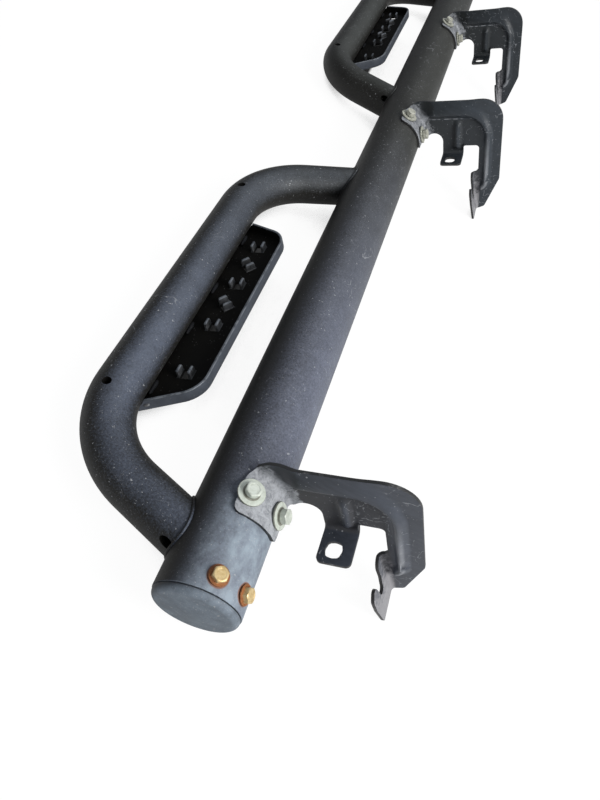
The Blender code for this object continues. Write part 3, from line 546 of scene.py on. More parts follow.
class Tree:
    """The nodes of a material or of the sky, with the patterns that the finishes share."""

    def __init__(self, owner: Material | bpy.types.World) -> None:
        """Empty the owner's nodes.

        Args:
            owner: the material or the sky.
        """
        self.owner = owner
        owner.use_nodes = True
        owner.node_tree.nodes.clear()

    def node(self, kind: str, settings: Settings | None = None,
             sockets: Sockets | None = None) -> bpy.types.Node:
        """Add a node.

        Args:
            kind: the node's type.
            settings: attributes that are set first.
            sockets: a value or a wire for each input, by number or name.

        Returns:
            The node.
        """
        made = self.owner.node_tree.nodes.new(kind)
        for name, value in (settings or {}).items():
            setattr(made, name, value)
        for key, value in (sockets or {}).items():
            if isinstance(value, Wire):
                self.owner.node_tree.links.new(value.socket, made.inputs[key])
            else:
                made.inputs[key].default_value = value
        return made

    def out(self, kind: str, settings: Settings | None = None, sockets: Sockets | None = None,
            output: int | str = 0) -> Wire:
        """Add a node and return one of its outputs."""
        return Wire(self, self.node(kind, settings, sockets).outputs[output])

    @cached_property
    def where(self) -> Wire:
        """The place on the piece."""
        return self.out("ShaderNodeTexCoord", output="Object")

    @cached_property
    def facing(self) -> Wire:
        """The way that the surface faces."""
        return self.out("ShaderNodeTexCoord", output="Normal")

    def axes(self, vector: Wire | None = None) -> tuple[Wire, Wire, Wire]:
        """The three parts of a vector, or of the place on the piece."""
        split = self.node("ShaderNodeSeparateXYZ", {}, {0: vector or self.where})
        return tuple(Wire(self, socket) for socket in split.outputs)

    def local(self, place: Place) -> tuple[Wire, Wire]:
        """Turn the place on the piece into a local frame.

        Args:
            place: that frame.

        Returns:
            The places across and above: (x cos t + z sin t, z cos t - x sin t) from its origin.
        """
        x, _, z = self.axes()
        across, above = x - place.origin[0], z - place.origin[2]
        cosine, sine = math.cos(place.turn), math.sin(place.turn)
        return across * cosine + above * sine, above * cosine - across * sine

    def noise(self, scale: float, detail: float = 2.0, rough: float = 0.5, bend: float = 0.0,
              stretch: Sequence[float] | None = None) -> Wire:
        """Add soft noise.

        Args:
            scale: lumps per metre.
            detail: finer layers that are added.
            rough: strength of each finer layer against the one before.
            bend: how far the lumps are pulled about.
            stretch: factor on the scale along X, Y and Z.

        Returns:
            Values from 0 to 1 that lie mostly near a half.
        """
        vector = self.where
        if stretch:
            vector = self.out("ShaderNodeMapping", {}, {"Vector": vector, "Scale": tuple(stretch)})
        sockets = {"Vector": vector, "Scale": scale, "Detail": detail, "Roughness": rough,
                   "Distortion": bend}
        return self.out("ShaderNodeTexNoise", {}, sockets)

    def specks(self, scale: float, size: float, share: float) -> Wire:
        """Add round specks, one in some cells of a cell pattern.

        Args:
            scale: cells per metre.
            size: radius of a speck as a share of a cell.
            share: share of the cells that hold one.

        Returns:
            1 on a speck and 0 elsewhere.
        """
        cells = self.node("ShaderNodeTexVoronoi", {}, {"Vector": self.where, "Scale": scale})
        distance, colour = Wire(self, cells.outputs["Distance"]), Wire(self, cells.outputs["Color"])
        chosen = self.axes(colour)[0].rise(1 - share, 1 - share + 0.02)
        return distance.rise(size, size * 0.55) * chosen

    def towards(self, way: Sequence[float]) -> Wire:
        """How far the surface faces a direction, from -1 to 1."""
        sockets = {0: self.facing, 1: tuple(way)}
        return self.out("ShaderNodeVectorMath", {"operation": "DOT_PRODUCT"}, sockets, "Value")

    def scratches(self, scale: float, width: float, share: float) -> Wire:
        """Add curly hairlines in patches: thin level lines of a soft noise.

        Args:
            scale: curls per metre.
            width: width of a line, as a step of the noise.
            share: share of the surface that holds them.

        Returns:
            1 on a line and 0 elsewhere.
        """
        line = abs(self.noise(scale, 1) - 0.5).rise(width, width * 0.3)
        patch = self.noise(scale * 0.28).rise(1 - share, 1.08 - share)
        return line * patch * self.noise(scale * 4).rise(0.42, 0.55)

    def near(self, spot: Sequence[float], inner: float, outer: float) -> Wire:
        """1 within the inner distance of a spot, falling to 0 at the outer one.

        Args:
            spot: the place.
            inner: distance up to which the value is 1.
            outer: distance from which it is 0.

        Returns:
            The share of nearness.
        """
        sockets = {0: self.where, 1: tuple(spot)}
        apart = self.out("ShaderNodeVectorMath", {"operation": "DISTANCE"}, sockets, "Value")
        return apart.rise(outer, inner)

    def mix(self, share: Value, first: Value, second: Value) -> Wire:
        """Blend two colours, from the first at 0 to the second at 1.

        Args:
            share: how far the blend goes.
            first: colour at 0.
            second: colour at 1.

        Returns:
            The blended colour.
        """
        colours = [(*value, 1.0) if isinstance(value, tuple) else value for value in (first, second)]
        return self.out("ShaderNodeMix", {"data_type": "RGBA"},
                        {0: share, 6: colours[0], 7: colours[1]}, 2)

    def bump(self, height: Wire, depth: float) -> Wire:
        """Turn a height of 0 to 1 into a normal; depth is in metres."""
        return self.out("ShaderNodeBump", {}, {"Height": height, "Distance": depth})

    def coat(self, colour: Wire, rough: Value, metal: Value, normal: Wire, gloss: float) -> Material:
        """Close the tree with one Principled surface.

        Args:
            colour: its base colour.
            rough: its roughness.
            metal: its metallic value.
            normal: its normal.
            gloss: its specular level.

        Returns:
            The material.
        """
        sockets = {"Base Color": colour, "Roughness": rough, "Metallic": metal,
                   "Specular IOR Level": gloss, "Normal": normal}
        surface = self.out("ShaderNodeBsdfPrincipled", {}, sockets)
        self.node("ShaderNodeOutputMaterial", {}, {"Surface": surface})
        return self.owner


def finish_tree(name: str) -> Tree:
    """The empty node tree of a new material."""
    return Tree(bpy.data.materials.new(name))


# ---------------------------------------------------------------- finishes
@dataclass(frozen=True)
class PowderCoat:
    """Textured black powder coat with painted light: a bluish grey sheen painted on the side that faces
    the light direction, near black on the side away from it.

    Fine pale grain, a few chips and curly scratches lie on it, painted fainter on the side away from
    the light. The front end is dusty, and rust rings the cap bolts. Scales are in lumps per metre,
    and the painted sheen is a share of facing.
    """

    name: str = "powder_coat"
    exposed: Spot = (0.62, -0.38, 0.69)
    window: tuple[float, float] = (-0.18, 1.02)
    sheen_share: float = 0.80
    deep: Colour = (0.014, 0.013, 0.011)
    # film is the painted sheen: the colour painted on the side that faces the light.
    film: Colour = (0.168, 0.184, 0.240)
    warm: Colour = (0.060, 0.061, 0.056)
    warming: tuple[float, float] = (-0.60, 0.05)
    dust: Colour = (0.32, 0.38, 0.44)
    dusty_from: float = -0.9
    dust_edge: tuple[float, float] = (0.012, -0.030)
    speck: Colour = (0.46, 0.47, 0.49)
    rust: Colour = (0.26, 0.085, 0.018)
    rust_spots: tuple[Spot, ...] = ()
    rust_ring: tuple[float, float] = (0.0084, 0.0108)
    grain_scale: float = 520
    cloud_scale: float = 8
    patch_scale: float = 42
    smear_scale: float = 130
    sand_scale: float = 720
    chip_scale: float = 300
    mark_scale: float = 44
    rough: float = 0.50
    relief: float = 0.00014
    gloss: float = 0.30

    def material(self) -> Material:
        """Build the finish: painted light and shade, then dust, then pale marks, then rust.

        Returns:
            The material.
        """
        tree = finish_tree(self.name)
        grain = tree.noise(self.grain_scale, 4, 0.74)
        cloud = tree.noise(self.cloud_scale, 4, 0.6, stretch=(1, 0.4, 1))
        patch = tree.noise(self.patch_scale, 5, 0.65, 0.6)
        along = tree.axes()[1]
        facing = tree.towards(self.exposed)

        # Painted light and shade: near black away from the light direction, rising to a bluish painted
        # sheen towards it; towards the rear the sheen turns darker and more neutral.
        lit = facing.rise(*self.window) * (self.sheen_share + 0.9 * (cloud - 0.5) + 0.6 * (patch - 0.5))
        lit = lit + (grain - 0.5) * 1.5 * facing.rise(-0.1, 0.6)
        far = (along + (cloud - 0.5) * 0.4).rise(*self.warming)
        colour = tree.mix(lit.share(), self.deep, tree.mix(far, self.film, self.warm))

        dusty = (along + (patch - 0.5) * 0.05).rise(*(self.dusty_from + edge for edge in self.dust_edge))
        smear = tree.noise(self.smear_scale, 4, 0.65, stretch=(1, 0.6, 1))
        dusty = dusty * facing.rise(0.05, 0.95) * (1.7 * patch - 0.12) * (2.3 * smear - 0.25)
        colour = tree.mix(dusty.share(), colour, self.dust)

        sand = tree.noise(self.sand_scale, rough=0.7)
        fine = sand.rise(0.60, 0.74) * (0.16 + 0.50 * patch.rise(0.35, 0.75) + dusty.most(0) * 0.5)
        chips = tree.noise(self.chip_scale, rough=0.6).rise(0.69, 0.73)
        chips = chips.most(tree.specks(self.mark_scale, 0.055, 0.05))
        hairs = tree.scratches(self.mark_scale, 0.011, 0.46) * (0.12 + 0.45 * cloud.rise(0.42, 0.70))
        # The pale marks are painted fainter on the side away from the light: painted shade.
        pale = fine.most(chips * 0.8).most(hairs) * facing.rise(-0.5, 0.7)
        colour = tree.mix(pale.least(1.0), colour, self.speck)

        for spot in self.rust_spots:
            halo = (tree.near(spot, *self.rust_ring) + (patch - 0.5) * 0.9).rise(0.30, 0.95)
            colour = tree.mix(halo * 0.75, colour, self.rust)
        rough = self.rough + (grain - 0.5) * 0.22 + (patch - 0.5) * 0.14 + dusty * 0.15
        return tree.coat(colour, rough, 0.0, tree.bump(grain * 0.7 + patch * 0.3, self.relief), self.gloss)


@dataclass(frozen=True)
class SatinCoat:
    """Satin black coat of one bracket with a painted bluish sheen: worn at the saddle and at the foot, and
    on the bead's crest worn with a painted highlight.

    Places are across and above in the bracket's frame, and depth is out of its plate. Scales are
    in lumps per metre.
    """

    name: str
    place: Place
    worn: float
    deep: Colour = (0.022, 0.025, 0.030)
    sheen: Colour = (0.088, 0.100, 0.128)
    web: Colour = (0.058, 0.056, 0.058)
    bare: Colour = (0.44, 0.455, 0.485)
    foot: Colour = (0.30, 0.295, 0.31)
    dark_blot_spot: Spot = (0.047, -0.003, 0.036)
    dark_blot_ring: tuple[float, float] = (0.004, 0.019)
    saddle_edge: tuple[float, float] = (0.0610, 0.0450)
    line_level: float = 0.0185
    line_width: tuple[float, float] = (0.0008, 0.0002)
    grain_scale: float = 600
    patch_scale: float = 60
    brush_scale: float = 90
    blot_scale: float = 170
    relief: float = 0.00016
    gloss: float = 0.40

    def material(self) -> Material:
        """Build the finish: painted sheen, web, crest with its painted highlight, saddle, dark blot, foot,
        then a thin pale line and marks.

        Returns:
            The material.
        """
        tree = finish_tree(self.name)
        across, above = tree.local(self.place)
        depth = self.place.origin[1] - tree.axes()[1]
        grain = tree.noise(self.grain_scale, 4, 0.72)
        patch = tree.noise(self.patch_scale, 5, 0.65, 0.5)
        brush = tree.noise(self.brush_scale, 4, 0.6, stretch=(0.25, 3, 3))
        blot = tree.noise(self.blot_scale, 4, 0.7, 0.8)

        # Painted sheen: a bluish painted highlight over the plate, stronger out along the arm.
        sheen = 0.25 + across.rise(0.05, 0.12) * 0.40 + (brush - 0.5) * 0.7 + (patch - 0.5) * 0.5
        colour = tree.mix(sheen.share(), self.deep, self.sheen)
        web = above.rise(self.line_level, self.line_level - 0.003) * across.rise(0.131, 0.125)
        web = web * depth.rise(0.0042, 0.0015)
        colour = tree.mix(web * (0.35 + 0.6 * grain), colour, self.web)
        # The bead's crest is worn, and its pale tone is also a painted highlight.
        crest = depth.rise(0.0026, 0.0056) * across.rise(0.128, 0.133) * above.rise(0.010, -0.070)
        colour = tree.mix(crest * (0.30 + 0.5 * (patch - 0.2)), colour, self.bare)

        edge = ((across * across + above * above) ** 0.5).rise(*self.saddle_edge)
        saddle = (edge + (patch - 0.5) * 1.6 + (blot - 0.5) * 1.4).rise(0.30, 0.80)
        mottle = 0.34 + 0.60 * self.worn + 1.3 * (patch - 0.5) + 1.9 * (blot - 0.5) + 0.9 * (grain - 0.5)
        colour = tree.mix((saddle * mottle).share(), colour, self.bare)
        # A dark blot on the arm near the saddle, ragged at its edge.
        darkened = tree.near(self.place.carry(np.array(self.dark_blot_spot)), *self.dark_blot_ring)
        darkened = (darkened + (blot - 0.5) * 1.2).rise(0.30, 0.75)
        colour = tree.mix(darkened * 0.8, colour, self.deep)

        foot = above.rise(-0.058, -0.070) * across.rise(0.1300, 0.1272)
        stain = (blot * 0.6 + patch * 0.4 + (above + 0.1) * 4).rise(0.46, 0.62)
        colour = tree.mix(foot * (0.92 - 0.75 * stain), colour, self.foot)

        # A thin pale line at the line's level, along the arm.
        line = abs(above - self.line_level + (patch - 0.5) * 0.0012).rise(*self.line_width)
        line = line * across.rise(0.050, 0.058) * across.rise(0.126, 0.112)
        colour = tree.mix(line * tree.noise(150, 3).rise(0.40, 0.55) * 0.7, colour, self.bare)
        pale = (tree.specks(430, 0.30, 0.12) * 0.35).most(tree.specks(110, 0.11, 0.06) * 0.7)
        pale = pale.most(tree.scratches(70, 0.014, 0.5) * 0.6)
        colour = tree.mix(pale.least(1.0), colour, self.bare)
        rough = 0.40 + web * 0.18 + saddle * 0.20 + foot * 0.1 + (grain - 0.5) * 0.16
        return tree.coat(colour, rough, 0.0, tree.bump(grain * 0.5 + patch * 0.5, self.relief), self.gloss)


@dataclass(frozen=True)
class WornEdge:
    """Cut edge of a coated sheet, rubbed down to grey metal over a share of its length."""

    name: str
    share: float
    coat: Colour = (0.030, 0.030, 0.031)
    bare: Colour = (0.27, 0.27, 0.27)
    rough: float = 0.48
    relief: float = 0.00008

    def material(self) -> Material:
        """Build the finish.

        Returns:
            The material.
        """
        tree = finish_tree(self.name)
        wear = tree.noise(90, 5, 0.7).rise(0.62 - self.share * 0.3, 0.80 - self.share * 0.3)
        grain = tree.noise(1200)
        colour = tree.mix(wear * (0.6 + 0.4 * grain), self.coat, self.bare)
        rough = self.rough + (grain - 0.5) * 0.15
        return tree.coat(colour, rough, wear * 0.35, tree.bump(grain, self.relief), 0.5)


@dataclass(frozen=True)
class PanCoat:
    """Coat of the tread pan and its stitches under patchy dust: a near-black ground that is painted shade,
    inside the pan and on the stitches, and a bluish grey ground that is a painted lit tone, on the pan's
    outside.
    """

    name: str
    deep: Colour
    dust: Colour
    share: float
    gloss: float
    rough: float = 0.6
    speck: Colour = (0.4, 0.4, 0.4)
    relief: float = 0.0001

    def material(self) -> Material:
        """Build the finish.

        Returns:
            The material.
        """
        tree = finish_tree(self.name)
        grain = tree.noise(1000, 3)
        patch = tree.noise(60, 5, 0.65, 0.5)
        dusty = self.share + (patch - 0.5) * 1.1 + (grain - 0.5) * 0.5
        colour = tree.mix(dusty.share(), self.deep, self.dust)
        colour = tree.mix(tree.specks(460, 0.30, 0.10) * self.share * 0.5, colour, self.speck)
        rough = self.rough + (grain - 0.5) * 0.2 + (patch - 0.5) * 0.2
        return tree.coat(colour, rough, 0.0, tree.bump(grain, self.relief), self.gloss)


@dataclass(frozen=True)
class Plating:
    """Zinc plating with blotches, dulled by a chalky film; also bare steel and rusty flanges."""

    name: str
    bright: Colour
    dull: Colour
    stain: Colour
    stained: float
    metal: float
    rough: float
    relief: float = 0.00006

    def material(self) -> Material:
        """Build the finish.

        Returns:
            The material.
        """
        tree = finish_tree(self.name)
        patch = tree.noise(260, 4, 0.6, 0.5)
        fine = tree.noise(1500, 3)
        colour = tree.mix(patch.rise(0.35, 0.7), self.bright, self.dull)
        stain = (patch * 0.6 + fine * 0.4).rise(0.72 - self.stained, 0.95 - self.stained)
        colour = tree.mix(stain, colour, self.stain)
        metal = self.metal * (1.0 - stain * 0.8)
        rough = self.rough + (fine - 0.5) * 0.2 + stain * 0.2
        return tree.coat(colour, rough, metal, tree.bump(fine, self.relief), 0.5)


# ---------------------------------------------------------------- pieces
@dataclass
class MainTube:
    """The long tube: a hollow turned shell with softened lips."""

    place: Place
    length: float = 1.510
    radius: float = TUBE_RADIUS
    wall: float = TUBE_WALL
    lip: float = 0.0006
    lip_steps: int = 5
    rings: int = 60
    sides: int = 168

    def mesh(self) -> Mesh:
        """Turn the wall's outline, a closed loop with four round lips, about the tube's axis.

        Returns:
            The tube, about the Y axis.
        """
        half, lip = self.length / 2, self.lip
        bore = self.radius - self.wall
        centres = ((self.radius - lip, half - lip), (bore + lip, half - lip),
                   (bore + lip, lip - half), (self.radius - lip, lip - half))
        lips = [arc(centre, lip, 90 * turn, 90 * turn + 90, self.lip_steps)
                for turn, centre in enumerate(centres)]
        outside = points_of(self.radius, np.linspace(lip - half, half - lip, self.rings))
        profile = np.concatenate([outside, lips[0][1:], *lips[1:3], lips[3][:-1]])
        return Skin().grid(revolved(profile, self.sides), True, True).mesh("tube")

    def dress(self, coat: Material) -> None:
        """Show the tube."""
        show("tube_shell", self.mesh(), self.place, [coat], "main_tube")


@dataclass
class EndCap:
    """A cap with a domed face, a soft edge and a skirt inside the tube."""

    place: Place
    end: End
    tube_length: float
    radius: float = 0.0373
    rim: float = 0.0068
    dome: float = 0.0022
    edge: float = 0.0055
    seam: float = 0.0007
    skirt: float = 0.032
    wall: float = 0.003
    face_steps: int = 24
    edge_steps: int = 14
    seam_steps: int = 5
    sides: int = 168

    def mesh(self) -> Mesh:
        """Turn the cap's outline; its face rises to the middle as (1 - u^2)^2.

        Returns:
            The front cap, with the tube's end at Y = 0.
        """
        flat = self.radius - self.edge
        out = np.linspace(0, flat, self.face_steps)
        face = points_of(out, -self.rim - self.dome * (1 - (out / flat) ** 2) ** 2)
        corner = arc((flat, self.edge - self.rim), self.edge, 270, 360, self.edge_steps)[1:]
        seam = arc((self.radius - self.seam, -SEAT_GAP - self.seam), self.seam, 0, 90, self.seam_steps)
        skirt = TUBE_RADIUS - TUBE_WALL - SEAT_GAP
        inside = skirt - self.wall
        back = self.wall - self.rim
        rest = [(skirt, -SEAT_GAP), (skirt, self.skirt), (inside, self.skirt), (inside, back), (0, back)]
        profile = np.concatenate([face, corner, seam, rest])
        return Skin().grid(revolved(profile, self.sides), True).mesh("cap")

    def dress(self, coat: Material) -> None:
        """Show the cap at its end of the tube.

        Args:
            coat: its finish.
        """
        mesh = self.mesh() if self.end is End.FRONT else mirrored(self.mesh())
        place = self.place.inside((0, self.end.value * self.tube_length / 2, 0), 0)
        label = self.end.label
        show(f"{label}_cap_shell", mesh, place, [coat], f"{label}_end_cap")


@dataclass
class Hoop:
    """A drop hoop: a tube bent twice, coped to the main tube, with drain and vent holes.

    A drain lies on the run at a distance either side of its middle. A vent lies on each leg at a
    reach from the main tube's axis, and its rise is the angle at which it looks up.
    """

    place: Place
    end: End
    radius: float = 0.0254
    span: float = 0.594
    reach: float = 0.154
    slant: float = 0.0675
    bend: float = 0.105
    drain_radius: float = 0.0045
    drain_spot: float = 0.178
    drain_stretch: float = 0.15
    vent_radius: float = 0.0046
    vent_reach: float = 0.0325
    vent_rise: float = math.radians(33)
    vent_stretch: float = 0.6
    hole_depth: float = 0.012
    hole_clearance: float = 0.006
    hole_sides: int = 28
    cope_rings: int = 8
    leg_rings: int = 12
    run_rings: int = 8
    sides: int = 96

    @property
    def lean(self) -> float:
        """Angle between a leg and the main tube."""
        return math.atan2(self.reach, self.slant)

    @property
    def root(self) -> Points:
        """Where the first leg's centreline meets the main tube's axis."""
        return np.array([0, -self.span / 2, 0.0])

    @property
    def down_leg(self) -> Points:
        """Direction of the first leg, away from the main tube."""
        return np.array([-math.sin(self.lean), math.cos(self.lean), 0.0])

    @property
    def beside_leg(self) -> Points:
        """Direction that is level and square to the first leg."""
        return np.array([math.cos(self.lean), math.sin(self.lean), 0.0])

    def path(self, bend_steps: int = 26) -> Points:
        """Work out the first half of the centreline: an arc and the straight run.

        Args:
            bend_steps: points on the arc.

        Returns:
            Its points, from the bend's start to the middle of the run.
        """
        lean = math.degrees(self.lean)
        tangent = self.bend * math.tan(self.lean / 2)
        centre = (self.bend - self.reach, self.slant + tangent - self.span / 2)
        bend = arc(centre, self.bend, 180 + lean, 180, bend_steps)
        run = points_of(-self.reach, np.linspace(bend[-1, 1], 0, self.run_rings)[1:])
        return raised(np.concatenate([bend, run]), 0.0)

    def cope(self, share: Points) -> Points:
        """Make the rings where the leg meets the main tube.

        A ring point is moved along the leg until its distance from the tube's axis is the tube's
        radius: x = -sqrt(R^2 - z^2).

        Args:
            share: each ring's radius as a share of the leg's.

        Returns:
            A grid of rings.
        """
        angles = round_turn(self.sides)[:, None]
        ring = np.cos(angles) * self.beside_leg - np.sin(angles) * np.array([0, 0, 1.0])
        points = self.root + share[:, None, None] * self.radius * ring
        onto = -np.sqrt((TUBE_RADIUS + SEAT_GAP) ** 2 - points[..., 2] ** 2)
        return points + ((onto - points[..., 0]) / self.down_leg[0])[..., None] * self.down_leg

    def grid(self) -> Points:
        """All rings: a lid on the cope, the leg, the bend, the run, and the same mirrored.

        Returns:
            A grid of rings, from one cope to the other.
        """
        rings = swept(self.path(), self.radius, self.sides)
        start = self.cope(np.array([1.0]))[0]
        turned = np.argmin(np.linalg.norm(rings[0] - start[0] - (rings[0] - start).mean(0), axis=1))
        rings = np.roll(rings, -int(turned), axis=1)
        lid = self.cope(np.linspace(0, 1, self.cope_rings)[:-1])
        leg = start + np.linspace(0, 1, self.leg_rings)[1:-1, None, None] * (rings[0] - start)
        return doubled(np.concatenate([lid, start[None], leg, rings]))

    def pin(self, spot: Points, way: Points, radius: float, stretch: float) -> Mesh:
        """Make a pin that cuts one hole: a closed cylinder, stretched along the leg.

        Args:
            spot: the hole's place on the centreline.
            way: direction of the hole from there.
            radius: the hole's radius.
            stretch: how much longer the hole is along the leg, as a share.

        Returns:
            The pin.
        """
        depth = np.array([self.radius - self.hole_depth, self.radius + self.hole_clearance])
        centres = spot + depth[:, None] * way
        pin = swept(centres, radius, self.hole_sides, (0.3, 0.9, 0.1))
        along = (pin - centres[:, None]) @ self.down_leg
        return Skin().closed(pin + stretch * along[..., None] * self.down_leg, 1).mesh("pin")

    def mesh(self) -> Mesh:
        """Cut the four holes in the swept tube; their inside takes the second finish.

        Returns:
            The hoop in its own frame.
        """
        mesh = Skin().grid(self.grid(), False, True).mesh("hoop")
        base = self.root + self.down_leg * self.vent_reach / math.sin(self.lean)
        vent = np.array([0, 0, math.sin(self.vent_rise)]) - self.beside_leg * math.cos(self.vent_rise)
        bend = np.array([-self.reach, -self.drain_spot, 0.0])
        drain = np.array([-math.sin(HOOP_DROOP), 0, math.cos(HOOP_DROOP)])
        for pin in (self.pin(base, vent, self.vent_radius, self.vent_stretch),
                    self.pin(bend, drain, self.drain_radius, self.drain_stretch)):
            mesh = combined(mesh, "DIFFERENCE", pin)
            mesh = combined(mesh, "DIFFERENCE", mirrored(pin))
        return mesh

    def dress(self, mesh: Mesh, finishes: Sequence[Material]) -> None:
        """Show the hoop; the second finish is the holes' inside."""
        label = self.end.label
        show(f"{label}_hoop_shell", mesh, self.place, finishes, f"{label}_hoop", 32)


@dataclass
class HoopBead:
    """The fillet bead round a leg, rippled as a weld is."""

    hoop: Hoop
    radius: float = 0.0017
    sink: float = 0.0005
    ripples: int = 62
    waves: int = 5
    steps: int = 368
    sides: int = 14

    def mesh(self) -> Mesh:
        """Carry a rippled circle round the line where the leg meets the tube.

        The line is where a tube around the leg meets a tube around the main tube, both wider
        than the metal by the same small offset: along the leg it lies at
        (a cos l + sqrt(R^2 - z^2)) / sin l, where a is across the leg and l is its lean.

        Returns:
            The bead of one leg, in the hoop's frame.
        """
        turn = round_turn(self.steps)
        sine, cosine = math.sin(self.hoop.lean), math.cos(self.hoop.lean)
        leg, tube = self.hoop.radius + self.sink, TUBE_RADIUS + self.sink
        across, rise = leg * np.cos(turn), leg * np.sin(turn)
        reach = (across * cosine + np.sqrt(tube ** 2 - rise ** 2)) / sine
        line = points_of(-reach * sine + across * cosine,
                         reach * cosine + across * sine - self.hoop.span / 2, rise)
        looped = np.concatenate([line[-2:], line, line[:2]])
        tangent = unit(np.gradient(looped, axis=0)[2:-2])
        out = points_of(np.cos(turn) * cosine, np.cos(turn) * sine, np.sin(turn))
        out = unit(out - (out * tangent).sum(1, keepdims=True) * tangent)
        ripple = 0.10 * np.abs(np.sin(turn * self.ripples / 2)) + 0.04 * np.sin(turn * self.waves)
        radius = self.radius * (0.90 + ripple)
        rings = circled(line, out, np.cross(tangent, out), radius, self.sides)
        return Skin().grid(rings, True, True).mesh("bead")

    def dress(self, mesh: Mesh, coat: Material) -> None:
        """Show both beads of the hoop.

        Args:
            mesh: the first leg's bead.
            coat: its finish.
        """
        label = self.hoop.end.label
        for number, bead in enumerate((mesh, mirrored(mesh)), start=1):
            show(f"{label}_leg_bead_{number}", bead, self.hoop.place, [coat],
                 f"{label}_hoop_weld_{number}", 60)


@dataclass
class Tread:
    """A pressed tread pan on the hoop's run, with raised cleats and stitch welds.

    In its frame X runs from the heel edge to the toe edge, Y along the run, and Z up to the run,
    whose centreline is the Y axis. A cleat is an opening between two upright tabs.
    """

    place: Place
    end: End
    hoop: Hoop
    thickness: float = 0.003
    rim: float = 0.015
    width: float = 0.0755
    heel: float = 0.012
    half_length: float = 0.168
    shift: float = -0.008
    end_lean: float = 0.44
    corner: float = 0.032
    corner_steps: int = 14
    fold: float = 0.004
    lip_share: float = 0.32
    pitch: float = 0.0372
    row: float = 0.0425
    row_shift: float = -0.0025
    cleat_turns: dict[int, float] = field(
        default_factory=lambda: {-3: 0, -1: 0, 0: -45, 1: 0, 2: -45, 3: 0})
    opening: float = 0.0135
    opening_corner: float = 0.0012
    opening_play: float = 0.0002
    opening_reach: tuple[float, float] = (0.002, 0.0008)
    tab_length: float = 0.012
    tab_height: float = 0.009
    tab_thickness: float = 0.0026
    tab_inset: float = 0.0016
    tab_shoulder: float = 0.0028
    tab_flare: float = 0.0009
    tab_edge: float = 0.0004
    tab_draw: float = 0.0005
    tab_rings: int = 14
    tab_sides: int = 40
    squareness: int = 12
    run_sides: int = 64
    run_steps: int = 20
    run_stub: float = 0.08
    stitch_radius: float = 0.0027
    stitch_length: float = 0.020
    stitch_sink: tuple[float, float] = (0.0004, 0.0003)
    stitch_places: tuple[float, ...] = (-0.139, -0.047, 0.025, 0.124)
    tack_radius: float = 0.0016
    tack_length: float = 0.006
    tack_sink: tuple[float, float] = (0.0015, 0.0004)
    tack_level: float = 0.6

    @property
    def inside(self) -> float:
        """Height of the floor's inner face."""
        return -(self.hoop.radius + SEAT_GAP)

    @property
    def outside(self) -> float:
        """Height of the floor's outer face."""
        return self.inside - self.thickness

    def outline(self, inset: float, lift: float) -> Points:
        """Draw the pan's outline in by an inset.

        Args:
            inset: distance inwards from the outermost outline.
            lift: height of the outline.

        Returns:
            The points of a trapezium with rounded corners.
        """
        wide, heel = self.width - inset, inset - self.heel
        half = self.half_length - inset * math.hypot(1, self.end_lean)
        toe_end, heel_end = half - self.end_lean * wide, half - self.end_lean * heel
        big, small = self.corner - inset, self.fold * 1.5 - inset * 0.5
        corners = [(heel, -heel_end, small), (wide, -toe_end, big),
                   (wide, toe_end, big), (heel, heel_end, small)]
        return raised(rounded(corners, self.corner_steps, True) + (0, self.shift), lift)

    def shell(self) -> Mesh:
        """Carry the rim's section round the outline and close both sides of the floor.

        The section is four quarter arcs of (inset, height): the inner fold, the two sides of the
        lip and the outer fold. The faces inside, on the lip and outside have their own finishes.

        Returns:
            The pan before its cleats.
        """
        top = self.outside + self.rim
        inner, lip = self.fold - self.thickness / 2, self.thickness * self.lip_share
        section = np.concatenate([
            arc((self.thickness + inner, self.inside + inner), inner, 270, 180, 7),
            arc((self.thickness - lip, top - lip), lip, 0, 90, 5),
            arc((lip, top - lip), lip, 90, 180, 5),
            arc((self.fold, self.outside + self.fold), self.fold, 180, 270, 9),
        ])
        rings = np.stack([self.outline(inset, lift) for inset, lift in section])
        band = np.repeat([0, 2, 1], [7, 9, 9])
        skin = Skin().grid(rings.transpose(1, 0, 2), True, False, band)
        return skin.flat(rings[0]).flat(rings[-1], 1).mesh("pan")

    def in_row(self, step: int, degrees: float, points: Points) -> Points:
        """Carry points from a cleat's own frame to its place in the row.

        Args:
            step: the cleat's place in the row, in pitches from the middle.
            degrees: its turn, from +X towards +Y.
            points: places in its own frame.

        Returns:
            The same places in the pan's frame.
        """
        cosine, sine = math.cos(math.radians(degrees)), math.sin(math.radians(degrees))
        x, y, z = points[..., 0], points[..., 1], points[..., 2]
        return points_of(x * cosine - y * sine + self.row,
                         x * sine + y * cosine + (step * self.pitch + self.row_shift), z)

    def tab(self, side: int) -> Points:
        """Make one upright tab: a rounded rectangle carried up, shorter and thinner to its top.

        Its half length is the tab's, less a slope above the shoulder, and its root flares by
        f exp(-height / f). The rectangle is the smaller of a box and a superellipse.

        Args:
            side: the side of the opening that it stands on, as a sign.

        Returns:
            A grid of rings in the cleat's frame, from below the floor's face to the top.
        """
        height, flare = self.tab_height, self.tab_flare
        rise = np.concatenate([[-self.thickness * 0.5],
                               np.linspace(0, height - self.tab_edge, self.tab_rings), [height]])
        top = rise >= height
        spread = flare * np.exp(-np.clip(rise, 0, None) / flare)
        slope = np.clip((rise - (height - self.tab_shoulder)) / self.tab_shoulder, 0, 1)
        half = self.tab_length / 2 - self.tab_inset * slope - np.where(top, self.tab_draw, 0.0) + spread
        width = self.tab_thickness / 2 * np.where(top, 0.55, 1.0) + spread
        angles = round_turn(self.tab_sides)
        cosine, sine = np.cos(angles), np.sin(angles)
        power = self.squareness
        box = 1 / np.maximum(np.abs(cosine), np.abs(sine))
        soft = 1 / (np.abs(cosine) ** power + np.abs(sine) ** power) ** (1 / power)
        shape = np.minimum(box, soft * 1.02)
        return points_of(side * self.opening / 2 + width[:, None] * (shape * cosine),
                         half[:, None] * (shape * sine), (self.inside + rise)[:, None])

